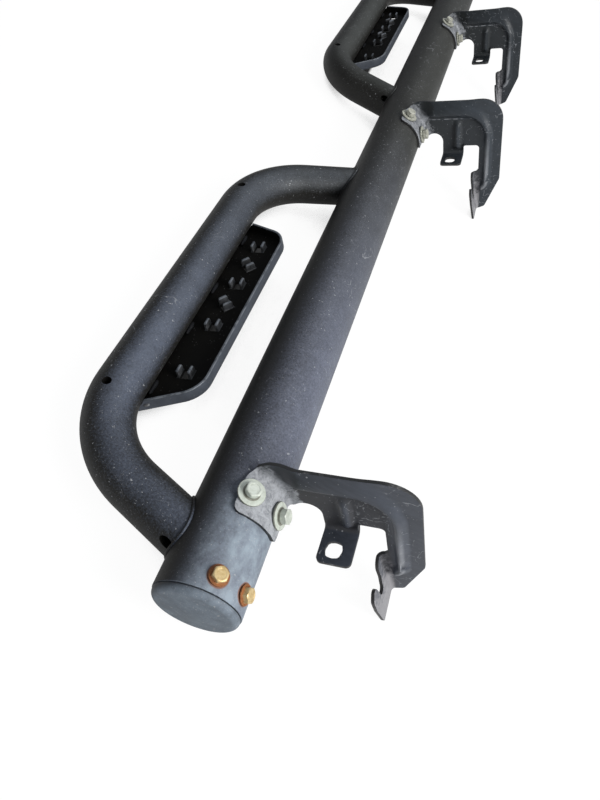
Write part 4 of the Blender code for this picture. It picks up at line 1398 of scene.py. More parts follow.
    def cleats(self) -> tuple[Mesh, Mesh]:
        """All tabs as one mesh, and all openings between them as another.

        Returns:
            The tabs and the openings.
        """
        tabs, openings = Skin(), Skin()
        side = (self.opening - self.tab_thickness) / 2 - self.opening_play
        loop = oblong(side, self.opening / 2, self.opening_corner, 5)
        low, high = self.opening_reach
        walls = np.stack([raised(loop, lift) for lift in (self.outside - low, self.inside + high)])
        for step, degrees in self.cleat_turns.items():
            for way in (-1, 1):
                rings = self.in_row(step, degrees, self.tab(way))
                tabs.grid(rings[:-3], False, True, 3).grid(rings[-4:], False, True, 2)
                tabs.flat(rings[0], 3).flat(rings[-1], 2)
            openings.closed(self.in_row(step, degrees, walls))
        return tabs.mesh("tabs"), openings.mesh("openings")

    def clearance(self) -> list[Mesh]:
        """What the hoop's tube takes out of the rim: a block over its run and the tube itself.

        Returns:
            Both tools, in the pan's frame.
        """
        hoop = self.hoop
        half = hoop.path(self.run_steps) + (hoop.reach, 0, 0)
        path = doubled(np.concatenate([half[:1] - self.run_stub * hoop.down_leg, half]))
        path = Place((0, 0, 0), HOOP_DROOP - TREAD_CLOCK).carry(path)
        tube = swept(path, hoop.radius + 2 * SEAT_GAP, self.run_sides)
        edge, long = hoop.radius / 2, self.half_length + hoop.radius
        outline = np.array([(-hoop.radius, -long), (edge, -long), (edge, long), (-hoop.radius, long)])
        block = np.stack([raised(outline, lift) for lift in (self.inside + SEAT_GAP, hoop.radius)])
        return [Skin().closed(block).mesh("block"), Skin().closed(tube).mesh("run")]

    def mesh(self) -> Mesh:
        """Join the tabs to the pan, then cut it for the cleats and the hoop.

        Returns:
            The pan in its own frame.
        """
        tabs, openings = self.cleats()
        mesh = combined(self.shell(), "UNION", tabs)
        for tool in [openings, *self.clearance()]:
            mesh = combined(mesh, "DIFFERENCE", tool)
        return mesh

    def stitch(self) -> Mesh:
        """A stitch weld in the corner of floor and run: a bead that swells, with ripples along it.

        Returns:
            One weld, centred on the run's middle.
        """
        offset = self.stitch_radius + SEAT_GAP
        height = self.inside + offset
        across = math.sqrt((self.hoop.radius + offset) ** 2 - height ** 2)
        share = np.linspace(-1, 1, 61)
        ripple = 0.80 + 0.12 * np.abs(np.sin(share * 11)) + 0.10 * np.sin(share * 4.3)
        sink, drop = self.stitch_sink
        path = points_of(across - sink, share * self.stitch_length / 2, height - drop)
        rings = swept(path, self.stitch_radius * swell(share, 3.2) * ripple, 20)
        return Skin().grid(rings, False, True).mesh("stitch")

    def tack(self) -> Mesh:
        """A short tack on the near end rim, beside the run.

        Returns:
            The tack, in the pan's frame.
        """
        share = np.linspace(-1, 1, 25)
        under, past = self.tack_sink
        across = self.hoop.radius - under + share * self.tack_length / 2
        end = self.end_lean * across - self.half_length + self.shift - past
        path = points_of(across, end, self.outside + self.rim * self.tack_level)
        rings = swept(path, self.tack_radius * swell(share, 2), 16)
        return Skin().grid(rings, False, True).mesh("tack")

    def dress(self, mesh: Mesh, stitch: Mesh, finishes: Sequence[Material],
              coat: Material, bright: Material) -> None:
        """Show the pan, its tack and its stitches.

        Args:
            mesh: the pan.
            stitch: one stitch weld.
            finishes: of the pan's inside, outside, lip and cleats.
            coat: finish of the stitches.
            bright: finish of the tack.
        """
        label = self.end.label
        show(f"{label}_pan", mesh, self.place, finishes, f"{label}_tread", 35)
        show(f"{label}_tack", self.tack(), self.place, [bright], "", 60)
        for number, spot in enumerate(self.stitch_places, start=1):
            show(f"{label}_stitch_{number}", stitch, self.place.inside((0, spot, 0), 0), [coat],
                 f"{label}_tread_weld_{number}", 60)


@dataclass
class Bracket:
    """A bracket pressed from one sheet: plate, saddle, drilled tab and hooked foot.

    Its front face is drawn as a sheet of grids and then thickened backwards. In its frame the
    tube's axis is Y, X runs out along the arm, Z is up and the plate faces -Y. A corner is
    (x, z, radius).
    """

    sheet: float = 0.0032
    fold: float = 0.004
    reach: float = 0.1585
    top: float = 0.0465
    corner: float = 0.032
    shoulder: Spot = (0.032, 0.0465, 0.014)
    chamfer_width: float = 0.021
    chamfer_top: float = 0.079
    chamfer_bottom: float = 0.127
    leg_edge: float = 0.1255
    leg_notch: float = -0.0235
    tab_left: float = 0.0705
    tab_width: float = 0.0315
    tab_drop: float = 0.035
    tab_length: float = 0.0355
    hole_size: tuple[float, float] = (0.0137, 0.0152)
    hole_corner: float = 0.004
    hole_centre: tuple[float, float] = (0.0135, 0.022)
    notch_radius: float = 0.0135
    notch_top: float = -0.003
    notch_start: float = 138
    gap_rounds: tuple[float, float] = (0.003, 0.005)
    edge_rounds: tuple[float, float] = (0.004, 0.006)
    tab_round: float = 0.005
    saddle_length: float = 0.042
    saddle_turns: tuple[float, float] = (math.radians(20.5), math.radians(101))
    saddle_corner: float = 0.007
    saddle_ease: float = math.radians(7.0)
    ease_length: float = 0.012
    foot_drop: float = 0.131
    foot_line: float = 0.1252
    foot_height: float = 0.064
    foot_tilt: float = math.radians(6.5)
    finger: tuple[Spot, ...] = ((-0.0275, 0.049, 0.003), (-0.032, 0.0535, 0.004),
                                (-0.040, 0.046, 0.006), (-0.040, 0.030, 0.015), (-0.035, 0, 0.002))
    lobe_reach: float = 0.0125
    lobe_top: float = 0.061
    lobe_bottom: float = 0.044
    lobe_rounds: tuple[float, float] = (0.010, 0.006)
    slot_centre: tuple[float, float] = (-0.0195, 0.0325)
    slot_radius: float = 0.0045
    bead_level: float = 0.027
    bead_leg: float = 0.1375
    bead_bend: float = 0.038
    bead_foot: float = -0.082
    bead_curl: float = 0.013
    bead_height: float = 0.0060
    bead_start: tuple[float, float] = (0.040, 0.058)
    bead_inner: tuple[float, float] = (0.0004, 0.0080)
    inner_loss: float = 0.0016
    foot_level: float = -0.060
    foot_step: tuple[float, float] = (0.0002, 0.0065)
    curl_step: tuple[float, float] = (-0.0115, -0.0095)
    panel_floor: float = 0.4
    panel_fade: tuple[float, float] = (-0.010, 0.020)
    arm_fall: float = 0.024
    arm_floor: float = 0.42
    leg_fall: float = 0.0092
    web_line: float = 0.0925
    web_height: float = 0.0052
    web_half_width: float = 0.0078
    web_low: tuple[float, float] = (-0.0305, -0.0225)
    web_high: tuple[float, float] = (0.0195, 0.0060)
    outer_stops: tuple[float, ...] = (0.0435, 0.0575, 0.0635, 0.0865, 0.112, 0.2318, 0.2368)
    bolt_turns: tuple[float, float] = (math.radians(33.1), math.radians(81.8))
    bolt_inset: float = 0.022
    bend_steps: int = 7
    rule_steps: int = 61
    edge_width: float = 0.00045
    edge_angle: float = math.radians(50)

    @property
    def saddle_outside(self) -> float:
        """Radius of the saddle's outer face."""
        return TUBE_RADIUS + SEAT_GAP + self.sheet

    def on_foot(self, across: Numbers, height: Numbers) -> Points:
        """Places on the leaning foot, across from its outer face and up from its lower edge.

        Args:
            across: distance out of the foot's face.
            height: distance up the foot.

        Returns:
            Their (x, z) places in the plate's plane.
        """
        cosine, sine = math.cos(self.foot_tilt), math.sin(self.foot_tilt)
        return points_of(across * cosine - height * sine + self.foot_line,
                         across * sine + height * cosine - self.foot_drop)

    def collar(self, eased: float = 0.0, count: int = 49) -> Points:
        """Space the saddle's rows, closer together near both ends.

        Args:
            eased: angle by which the first row is drawn in.
            count: number of rows.

        Returns:
            Their angles round the tube: a blend of even steps and (1 - cos) / 2.
        """
        share = np.linspace(0, 1, count)
        share = 0.45 * share + 0.55 * (1 - np.cos(share * math.pi)) / 2
        start, end = self.saddle_turns
        return start + eased + (end - start - eased) * share

    def bead_side(self, x: Points, z: Points) -> Points:
        """Measure outward from the long bead's crest.

        The crest is a straight line along the arm, an arc round the corner, a straight line down
        the leg and a tighter arc that curls to the foot.

        Args:
            x: places along the arm.
            z: places up.

        Returns:
            Distance from the crest, below zero on its inner side.
        """
        corner_x, corner_z = self.bead_leg - self.bead_bend, self.bead_level - self.bead_bend
        turn = np.hypot(x - corner_x, z - corner_z) - self.bead_bend
        straight = np.maximum(z - self.bead_level, x - self.bead_leg)
        side = np.where((x > corner_x) & (z > corner_z), turn, straight)
        curl = np.hypot(x - self.bead_leg + self.bead_curl, z - self.bead_foot) - self.bead_curl
        return np.where(z < self.bead_foot, curl, side)

    def long_bead(self, x: Points, z: Points) -> Points:
        """Work out how far the long bead stands out of the plate.

        It falls by a soft step on its inner side. On its outer side it falls slowly across the
        arm, down to a share of its height, and quickly beside the leg. It fades out at the
        saddle, at the foot's fold and past its curl.

        Args:
            x: places along the arm.
            z: places up.

        Returns:
            Its height there.
        """
        side = self.bead_side(x, z)
        corner_x, corner_z = self.bead_leg - self.bead_bend, self.bead_level - self.bead_bend
        round_corner = smooth(np.arctan2(x - corner_x, z - corner_z + 1e-9), 0.15, 1.25)
        to_leg = np.where(z < corner_z, 1.0, np.where(x < corner_x, 0.0, round_corner))
        width = self.arm_fall + (self.leg_fall - self.arm_fall) * to_leg
        near, far = self.bead_inner
        inner = 1 - smooth(-side, near, far - self.inner_loss * to_leg)
        outer = 1 - (1 - self.arm_floor * (1 - to_leg)) * smooth(side, 0.0, width)
        fold_line = self.on_foot(self.fold, (z + self.foot_drop) / math.cos(self.foot_tilt))[..., 0]
        at_foot = np.where(z < self.foot_level, smooth(x - fold_line, *self.foot_step), 1.0)
        at_curl = np.where(z < self.bead_foot, smooth(-side, *self.curl_step), 1.0)
        fade = smooth(z, *(self.bead_foot + level for level in self.panel_fade))
        fade = self.panel_floor + (1 - self.panel_floor) * fade
        lower_panel = np.where((side > 0) & (z > self.bead_foot), fade, 1.0)
        bead = self.bead_height * np.where(side < 0, inner, outer) * smooth(x, *self.bead_start)
        return bead * at_foot * at_curl * lower_panel

    def web_rib(self, x: Points, z: Points) -> Points:
        """How far the web's short rib stands out: a raised cosine across, with soft ends.

        Args:
            x: places along the arm.
            z: places up.

        Returns:
            Its height there.
        """
        apart = np.clip(np.abs(x - self.web_line) / self.web_half_width, 0, 1)
        web = self.web_height * np.cos(apart * math.pi / 2) ** 2
        return web * smooth(z, *self.web_low) * smooth(z, *self.web_high)

    def edges(self) -> list[tuple[Points, Points]]:
        """Matched stretches of the plate's inner and outer edge.

        Returns:
            (inner, outer) pairs with equally many points each, from the saddle to the foot.
        """
        root = self.saddle_outside + self.fold
        turns = self.collar(self.saddle_ease)
        collar = root * points_of(np.sin(turns), np.cos(turns))
        left, right, low = self.tab_left, self.tab_left + self.tab_width, self.fold - self.tab_drop
        centre = (left - self.notch_radius, self.notch_top - self.notch_radius)
        notch = np.concatenate([collar[-1:], arc(centre, self.notch_radius, self.notch_start, 0, 30)])
        foot = self.on_foot(self.fold, np.linspace(self.foot_height, 0, 41))
        knee = (self.leg_edge, foot[0, 1] + self.fold)
        gap = rounded([(right, low, 0), (right, self.leg_notch, self.gap_rounds[0]),
                       (self.leg_edge, self.leg_notch, self.gap_rounds[1]), (*knee, 0)], 6)
        split = len(gap) - 1
        inner = [
            collar, evenly(notch, 29), evenly(np.array([notch[-1], [left, low]]), 11),
            evenly(np.array([[left, low], [right, low]]), 25), evenly(gap[:split], 25),
            evenly(gap[split - 1:], 33), evenly(np.array([knee, foot[0]]), 5), foot,
        ]
        outer = rounded([
            (*collar[0], 0), self.shoulder, (self.reach, self.top, self.corner),
            (self.reach, -self.chamfer_top, self.edge_rounds[0]),
            (self.reach - self.chamfer_width, -self.chamfer_bottom, self.edge_rounds[1]),
            (*foot[-1], 0),
        ], 24)
        stops = [0.0, *self.outer_stops, spans(outer)[-1]]
        return [(piece, sampled(outer, np.linspace(start, stop, len(piece))))
                for piece, start, stop in zip(inner, stops, stops[1:])]

    def plate(self, skin: Skin) -> None:
        """Rule straight lines between both edges and press the beads into them.

        Args:
            skin: the sheet that it is added to.
        """
        for inner, outer in self.edges():
            share = np.linspace(0, 1, self.rule_steps)[None, :, None]
            flat = inner[:, None] * (1 - share) + outer[:, None] * share
            x, z = flat[..., 0], flat[..., 1]
            skin.grid(points_of(x, -np.maximum(self.long_bead(x, z), self.web_rib(x, z)), z))

    def saddle(self, skin: Skin) -> None:
        """Add the fold and the collar that lies on the tube, with rounded free corners.

        The rows draw in towards the fold by (1 - d)^2, where d is the share of the way out, so
        the corner above the first bolt is round.

        Args:
            skin: the sheet that they are added to.
        """
        turns = self.collar()
        bend = arc((self.saddle_outside + self.fold, -self.fold), self.fold, 90, 180, self.bend_steps)
        ends = np.minimum(turns - turns[0], turns[-1] - turns) * self.saddle_outside
        inset = np.clip(self.saddle_corner - ends, 0, None)
        stop = self.saddle_corner - np.sqrt(self.saddle_corner ** 2 - inset ** 2) - self.saddle_length
        share = np.linspace(0, 1, 25)[1:]
        along = -self.fold + (stop[:, None] + self.fold) * share
        radius = np.concatenate([bend[:, 0], np.full(len(share), self.saddle_outside)])
        y = np.concatenate([np.broadcast_to(bend[:, 1], (len(turns), len(bend))), along], 1)
        free = 1 - (1 - np.clip(-y / self.ease_length, 0, 1)) ** 2
        turns = self.collar(self.saddle_ease)[:, None] * (1 - free) + turns[:, None] * free
        skin.grid(points_of(radius * np.sin(turns), y, radius * np.cos(turns)))

    def tab(self, skin: Skin) -> None:
        """Add the fold under the web and the flange round its square hole.

        The flange is a ring of lines from the hole's outline to the flange's own.

        Args:
            skin: the sheet that they are added to.
        """
        left, right = self.tab_left, self.tab_left + self.tab_width
        across = np.linspace(left, right, 25)
        bend = arc((-self.fold, self.fold - self.tab_drop), self.fold, 0, -90, self.bend_steps)
        skin.grid(points_of(across[None], bend[:, :1], bend[:, 1:]))
        free = rounded([(right, -self.fold, 0), (right, -self.tab_length, self.tab_round),
                        (left, -self.tab_length, self.tab_round), (left, -self.fold, 0)], 10)
        loop = np.concatenate([points_of(across, -self.fold), evenly(free, 61)[1:-1]])
        centre = np.array([left + self.hole_centre[0], -self.hole_centre[1]])
        hole = oblong(self.hole_size[0] / 2, self.hole_size[1] / 2, self.hole_corner, 12)
        turn = np.arctan2(hole[:, 1], hole[:, 0])
        order = np.argsort(turn)
        ray = np.arctan2(loop[:, 1] - centre[1], loop[:, 0] - centre[0])
        size = np.interp(ray, turn[order], np.hypot(hole[:, 0], hole[:, 1])[order], period=FULL_TURN)
        inner = centre + size[:, None] * points_of(np.cos(ray), np.sin(ray))
        share = np.linspace(0, 1, 7)[:, None, None]
        skin.grid(raised(inner * (1 - share) + loop * share, -self.tab_drop), False, True)

    def foot(self, skin: Skin) -> None:
        """Add the fold beside the leg and the hooked flange, drawn as one flat outline.

        Args:
            skin: the sheet that they are added to.
        """
        height = np.linspace(self.foot_height, 0, 41)
        bend = arc((self.fold, -self.fold), self.fold, 90, 180, self.bend_steps)
        flat = self.on_foot(bend[:, :1], height[None])
        skin.grid(points_of(flat[..., 0], bend[:, 1:], flat[..., 1]))
        slot = arc(self.slot_centre, self.slot_radius, 0, -180, 13)
        big, small = self.lobe_rounds
        lobe = rounded([(-self.fold, self.foot_height, 0), (-self.lobe_reach, self.lobe_top, big),
                        (-self.lobe_reach, self.lobe_bottom, small), (*slot[0], 0)], 8)
        finger = rounded([(*slot[-1], 0), *self.finger, (-self.fold, 0, 0)], 8)
        seam = points_of(-self.fold, height[::-1])
        outline = np.concatenate([seam, lobe[1:-1], slot, finger[1:-1]])
        spots = self.on_foot(0.0, outline[:, 1])
        skin.flat(points_of(spots[:, 0], outline[:, 0], spots[:, 1]))

    def mesh(self) -> Mesh:
        """Thicken the pressed sheet backwards and soften its cut edges.

        Returns:
            The bracket in its own frame.
        """
        skin = Skin()
        for add in (self.plate, self.saddle, self.tab, self.foot):
            add(skin)
        item = linked("sheet", outward(skin.mesh("bracket"), (0, -1, 0)))
        wall = item.modifiers.new("Wall", "SOLIDIFY")
        wall.thickness = self.sheet
        wall.offset = -1
        wall.use_even_offset = False
        wall.material_offset_rim = 1
        soft = item.modifiers.new("Soft", "BEVEL")
        soft.width = self.edge_width
        soft.segments = 2
        soft.limit_method = "ANGLE"
        soft.angle_limit = self.edge_angle
        soft.material = 2
        return settled(item)

    def dress(self, mesh: Mesh, name: str, place: Place, finishes: Sequence[Material]) -> None:
        """Show one bracket; the finishes are of its faces, cut edges and worn corners."""
        show(f"{name}_pressing", mesh, place, finishes, f"{name}_bracket", 50)


@dataclass
class HexBolt:
    """A hexagon bolt: shank, washer face or flange, chamfered head with a shallow dish."""

    flats: float = 0.013
    head: float = 0.0055
    face: float = 0.0016
    flange: float = 0.0065
    shank: float = 0.004
    length: float = 0.022
    dish: float = 0.0004
    soft: float = 0.0003
    chamfer_slope: float = 0.55
    rim_share: float = 0.46
    corner_share: float = 0.985
    flange_shares: tuple[float, float] = (0.6, 0.75)
    dish_shares: tuple[float, float, float] = (0.36, 0.33, 0.15)
    sides: int = 96

    def mesh(self) -> Mesh:
        """Stack rings whose radius is the smaller of a hexagon's and a chamfer cone's.

        The hexagon's radius at an angle is half its flats over the cosine of the angle from the
        nearest flat's middle. The washer face takes the second finish.

        Returns:
            The bolt with its head up and its seat at height 0.
        """
        angles = round_turn(self.sides)
        sixth = math.pi / 6
        sector = np.abs((angles + sixth) % (2 * sixth) - sixth)
        corner = self.flats / 2 / math.cos(sixth)
        hexagon = np.minimum(self.flats / 2 / np.cos(sector), corner * self.corner_share)
        top, bed, soft, flange = self.face + self.head, self.face, self.soft, self.flange
        rim, slope = self.flats * self.rim_share, self.chamfer_slope
        edge_low, edge_high = (bed * share for share in self.flange_shares)
        under = [(0.0, -self.length), (self.shank - soft, -self.length), (self.shank, soft - self.length),
                 (self.shank, 0), (flange - soft, 0), (flange, soft), (flange, edge_low),
                 (flange - soft, edge_high)]
        rise = np.linspace(top - (corner - rim) * slope, top - 0.0001, 9)
        head = [(flange, bed), *((min(rim + (top - lift) / slope, corner), lift) for lift in rise)]
        wide, middle, narrow = (self.flats * share for share in self.dish_shares)
        dished = top - self.dish
        over = [(rim - 0.0003, top), (wide, top), (middle, dished), (narrow, dished), (0.0, dished)]
        rings = [np.minimum(hexagon, radius) if (radius, lift) in head else np.full(self.sides, radius)
                 for radius, lift in (*under, *head, *over)]
        lifts = np.array([lift for _, lift in (*under, *head, *over)])
        radius = np.stack(rings)
        grid = points_of(radius * np.cos(angles), radius * np.sin(angles), lifts[:, None])
        finish = np.where(lifts[1:] <= bed * 1.01, 1, 0)
        return Skin().grid(grid.transpose(1, 0, 2), True, False, finish).mesh("bolt")


@dataclass
class Washer:
    """A plain washer with softened edges; round the bolt's head it is darkened by grime and painted shade,
    and its rim is darker.
    """

    radius: float = 0.0122
    hole: float = 0.0047
    thickness: float = 0.002
    soft: float = 0.0005
    hole_soft: float = 0.0003
    grime_and_shade: float = 0.0079
    dark_rim: float = 0.0002
    sides: int = 96

    def mesh(self) -> Mesh:
        """Turn a rounded rectangle about the washer's axis.

        Returns:
            The washer, lying with its lower face at height 0.
        """
        low, high = 0.0, self.thickness
        corners = [(self.hole, low, self.hole_soft), (self.radius, low, self.soft),
                   (self.radius, high, self.soft), (self.grime_and_shade, high, 0), (self.hole, high, self.hole_soft)]
        profile = rounded(corners, 5, True)
        middle = (profile[:, 0] + np.roll(profile[:, 0], -1)) / 2
        # The second finish: grime and painted shade round the head, and a darker outer rim.
        finish = ((middle < self.grime_and_shade) | (middle > self.radius - self.dark_rim)).astype(int)
        grid = revolved(profile, self.sides)[..., [0, 2, 1]]
        return Skin().grid(grid, True, True, finish).mesh("washer")


# ---------------------------------------------------------------- the board
@dataclass
class Board:
    """The whole running board: its layout, finishes and pieces."""

    tube_length: float = 1.510
    hoop_inset: float = 0.039
    bracket_places: dict[str, float] = field(
        default_factory=lambda: {"front": 0.109, "middle": 0.803, "rear": 1.202})
    cap_bolt_inset: float = 0.014
    cap_bolt_turns: tuple[float, float] = (math.radians(10.5), math.radians(55.0))

    def __post_init__(self) -> None:
        """Find the board's frame: the tube's axis from its solid, the turn from the level pose."""
        low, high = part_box("main_tube")
        self.place = Place(tuple((low + high) / 2), self.lying_turn())

    @staticmethod
    def lying_turn() -> float:
        """The turn at which the tread's heel and the brackets' feet touch level ground.

        Returns:
            The turn about Y, in radians.
        """
        bracket, hoop = Bracket(), Hoop(ORIGIN, End.FRONT)
        tread = Tread(ORIGIN, End.FRONT, hoop)
        eased = tread.fold * (1 - math.cos(math.pi / 4))
        heel = np.array([eased - tread.heel, 0, eased + tread.outside])
        heel = ORIGIN.inside((0, 0, 0), TREAD_CLOCK).carry(heel)
        heel += ORIGIN.inside((0, 0, 0), HOOP_DROOP).carry(np.array([-hoop.reach, 0, 0]))
        x, z = bracket.on_foot(-bracket.sheet, 0.0)
        foot = ORIGIN.inside((0, 0, 0), BRACKET_CLOCK).carry(np.array([x, 0, z]))
        return -math.atan2(foot[2] - heel[2], foot[0] - heel[0])

    def along(self, distance: float) -> float:
        """Turn a distance from the tube's front end into a Y place."""
        return distance - self.tube_length / 2

    def bracket_frame(self, name: str) -> Place:
        """The frame of a bracket."""
        return self.place.inside((0, self.along(self.bracket_places[name]), 0), BRACKET_CLOCK)

    def cap_spots(self) -> list[tuple[str, float, float]]:
        """Label, angle and Y place of each cap bolt.

        Returns:
            One tuple for each bolt.
        """
        return [(f"{end.label}_cap_bolt_{number}", turn,
                 end.value * (self.tube_length / 2 - self.cap_bolt_inset))
                for end in End for number, turn in enumerate(self.cap_bolt_turns, start=1)]

    def coats(self) -> dict[str, Material]:
        """Make every finish once.

        Returns:
            The materials by key.
        """
        rust = tuple(tuple(self.place.carry(TUBE_RADIUS * np.array([math.sin(turn), y / TUBE_RADIUS,
                                                                    math.cos(turn)])).tolist())
                     for _, turn, y in self.cap_spots())
        grime_and_shade = (0.20, 0.19, 0.16)
        cap_sheen = (0.140, 0.166, 0.202)
        finishes = {
            # Each powder coat's sheen is painted light towards its light direction. The hoop's is higher
            # and narrower, so its run is painted dark on both sides: painted shade where the main tube
            # shades it.
            "powder": PowderCoat(rust_spots=rust, dusty_from=self.along(0.100)),
            "hoop": PowderCoat("hoop_coat", (0.34, -0.29, 0.90), (0.50, 1.06), 0.86,
                               film=(0.122, 0.142, 0.190), warm=(0.070, 0.074, 0.070)),
            "cap": PowderCoat("cap_coat", (0.35, -0.80, 0.48), deep=(0.030, 0.033, 0.037), film=cap_sheen,
                              warm=cap_sheen, dust=(0.235, 0.280, 0.330), dusty_from=2.0),
            "front": SatinCoat("front_bracket_coat", self.bracket_frame("front"), 0.75),
            # The middle and rear brackets take darker copies of the coat: painted shade for the brackets
            # further back.
            "middle": SatinCoat("middle_bracket_coat", self.bracket_frame("middle"), 0.42,
                                (0.016, 0.019, 0.021), (0.058, 0.069, 0.084), (0.034, 0.037, 0.040)),
            "rear": SatinCoat("rear_bracket_coat", self.bracket_frame("rear"), 0.45,
                              (0.011, 0.013, 0.014), (0.038, 0.046, 0.056), (0.026, 0.029, 0.031)),
            "cut": WornEdge("cut_edge", 0.25),
            "edge": WornEdge("worn_edge", 0.9, bare=(0.36, 0.37, 0.39)),
            # The pan's lip and the tab tops: rubbed edges whose bluish bare grey is also a painted
            # highlight.
            "lip": WornEdge("pan_lip", 0.8, (0.06, 0.068, 0.082), (0.24, 0.26, 0.29)),
            "cleat": WornEdge("cleat_wear", 0.7, (0.017, 0.018, 0.020), (0.11, 0.115, 0.125)),
            # Inside the pan, in the hoop's holes and on the stitches the coat is painted near black:
            # painted shade, with faint brown dust inside the pan.
            "pan": PanCoat("pan_coat", (0.0035, 0.0035, 0.004), (0.011, 0.010, 0.008), 0.45, 0.12, 0.75),
            "stitch": PanCoat("stitch_painted_shade", (0.005, 0.005, 0.006), (0.018, 0.020, 0.024), 0.40, 0.15),
            # The pan's outside: a bluish grey painted lit tone under patchy dust.
            "rim": PanCoat("pan_outside_painted_light", (0.040, 0.046, 0.058), (0.105, 0.120, 0.150), 0.5, 0.4, 0.5),
            "zinc": Plating("pale_zinc", (0.70, 0.74, 0.67), (0.56, 0.60, 0.52), (0.34, 0.34, 0.28),
                            0.06, 0.15, 0.5),
            "old_zinc": Plating("dirty_zinc", (0.56, 0.56, 0.49), (0.42, 0.42, 0.35), grime_and_shade,
                                0.20, 0.12, 0.6),
            "grime_and_shade": Plating("zinc_shade_and_grime", (0.34, 0.35, 0.30), (0.24, 0.24, 0.20), grime_and_shade,
                             0.15, 0.1, 0.65),
            "gold": Plating("gold_zinc", (0.80, 0.62, 0.33), (0.62, 0.44, 0.19), (0.36, 0.17, 0.06),
                            0.10, 0.45, 0.42),
            "rust": Plating("rusty_flange", (0.33, 0.12, 0.035), (0.22, 0.075, 0.022),
                            (0.52, 0.33, 0.13), 0.16, 0.10, 0.7),
            "steel": Plating("plain_steel", (0.36, 0.36, 0.36), (0.28, 0.28, 0.28), (0.2, 0.17, 0.14),
                             0.10, 0.8, 0.42),
        }
        return {key: finish.material() for key, finish in finishes.items()}

    def build_tube(self, coats: dict[str, Material]) -> None:
        """Show the tube, its caps and the cap bolts.

        Args:
            coats: the finishes by key.
        """
        MainTube(self.place, self.tube_length).dress(coats["powder"])
        for end in End:
            EndCap(self.place, end, self.tube_length).dress(coats["cap"])
        bolt = HexBolt(flats=0.0118, head=0.0045, flange=0.0085, dish=0.0002).mesh()
        for node, turn, y in self.cap_spots():
            mesh = stood(bolt, turn, y, TUBE_RADIUS + SEAT_GAP)
            show(f"{node}_head", mesh, self.place, [coats["gold"], coats["rust"]], node, 25)

    def build_hoops(self, coats: dict[str, Material]) -> None:
        """Show both hoops with their beads, pans and stitches; all meshes are made once.

        Args:
            coats: the finishes by key.
        """
        # Inside the pan is painted shade, outside a painted lit tone, and the lip carries wear and a
        # painted highlight.
        pan_finishes = [coats["pan"], coats["rim"], coats["lip"], coats["cleat"]]
        made: dict[str, Mesh] = {}
        for end in End:
            y = end.value * (self.tube_length / 2 - self.hoop_inset - Hoop.span / 2)
            hoop = Hoop(self.place.inside((0, y, 0), HOOP_DROOP), end)
            run = hoop.place.inside((-hoop.reach, 0, 0), TREAD_CLOCK - HOOP_DROOP)
            tread, bead = Tread(run, end, hoop), HoopBead(hoop)
            if not made:
                made = {"hoop": hoop.mesh(), "bead": bead.mesh(), "pan": tread.mesh(),
                        "stitch": tread.stitch()}
            # The holes' inside takes the pan's near-black painted shade.
            hoop.dress(made["hoop"], [coats["hoop"], coats["pan"]])
            bead.dress(made["bead"], coats["hoop"])
            tread.dress(made["pan"], made["stitch"], pan_finishes, coats["stitch"], coats["edge"])

    def build_brackets(self, coats: dict[str, Material]) -> None:
        """Show three brackets, each with two bolts and washers.

        Args:
            coats: the finishes by key.
        """
        bracket, bolt, washer = Bracket(), HexBolt(), Washer()
        sheet, head, ring = bracket.mesh(), bolt.mesh(), washer.mesh()
        seat = bracket.saddle_outside + SEAT_GAP
        stack = (("washer", ring, seat), ("bolt", head, seat + washer.thickness + SEAT_GAP))
        for name in self.bracket_places:
            place = self.bracket_frame(name)
            bracket.dress(sheet, name, place, [coats[name], coats["cut"], coats["edge"]])
            # The second finish is darker zinc: grime and painted shade round the bolt heads, on the washers
            # and on the bolts' washer faces.
            plated = [coats["zinc" if name == "front" else "old_zinc"], coats["grime_and_shade"]]
            for number, turn in enumerate(bracket.bolt_turns, start=1):
                for piece, mesh, radius in stack:
                    node = f"{name}_bracket_{piece}_{number}"
                    seated = stood(mesh, turn, -bracket.bolt_inset, radius)
                    show(f"{node}_head", seated, place, plated, node, 25)

    def paint_nuts(self, steel: Material) -> None:
        """Give the nuts inside the tube their steel.

        Args:
            steel: their finish.
        """
        for name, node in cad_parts.items():
            if "_nut_" in name:
                node.data.materials.clear()
                node.data.materials.append(steel)

    def build(self) -> None:
        """Build everything."""
        coats = self.coats()
        self.build_tube(coats)
        self.build_hoops(coats)
        self.build_brackets(coats)
        self.paint_nuts(coats["steel"])


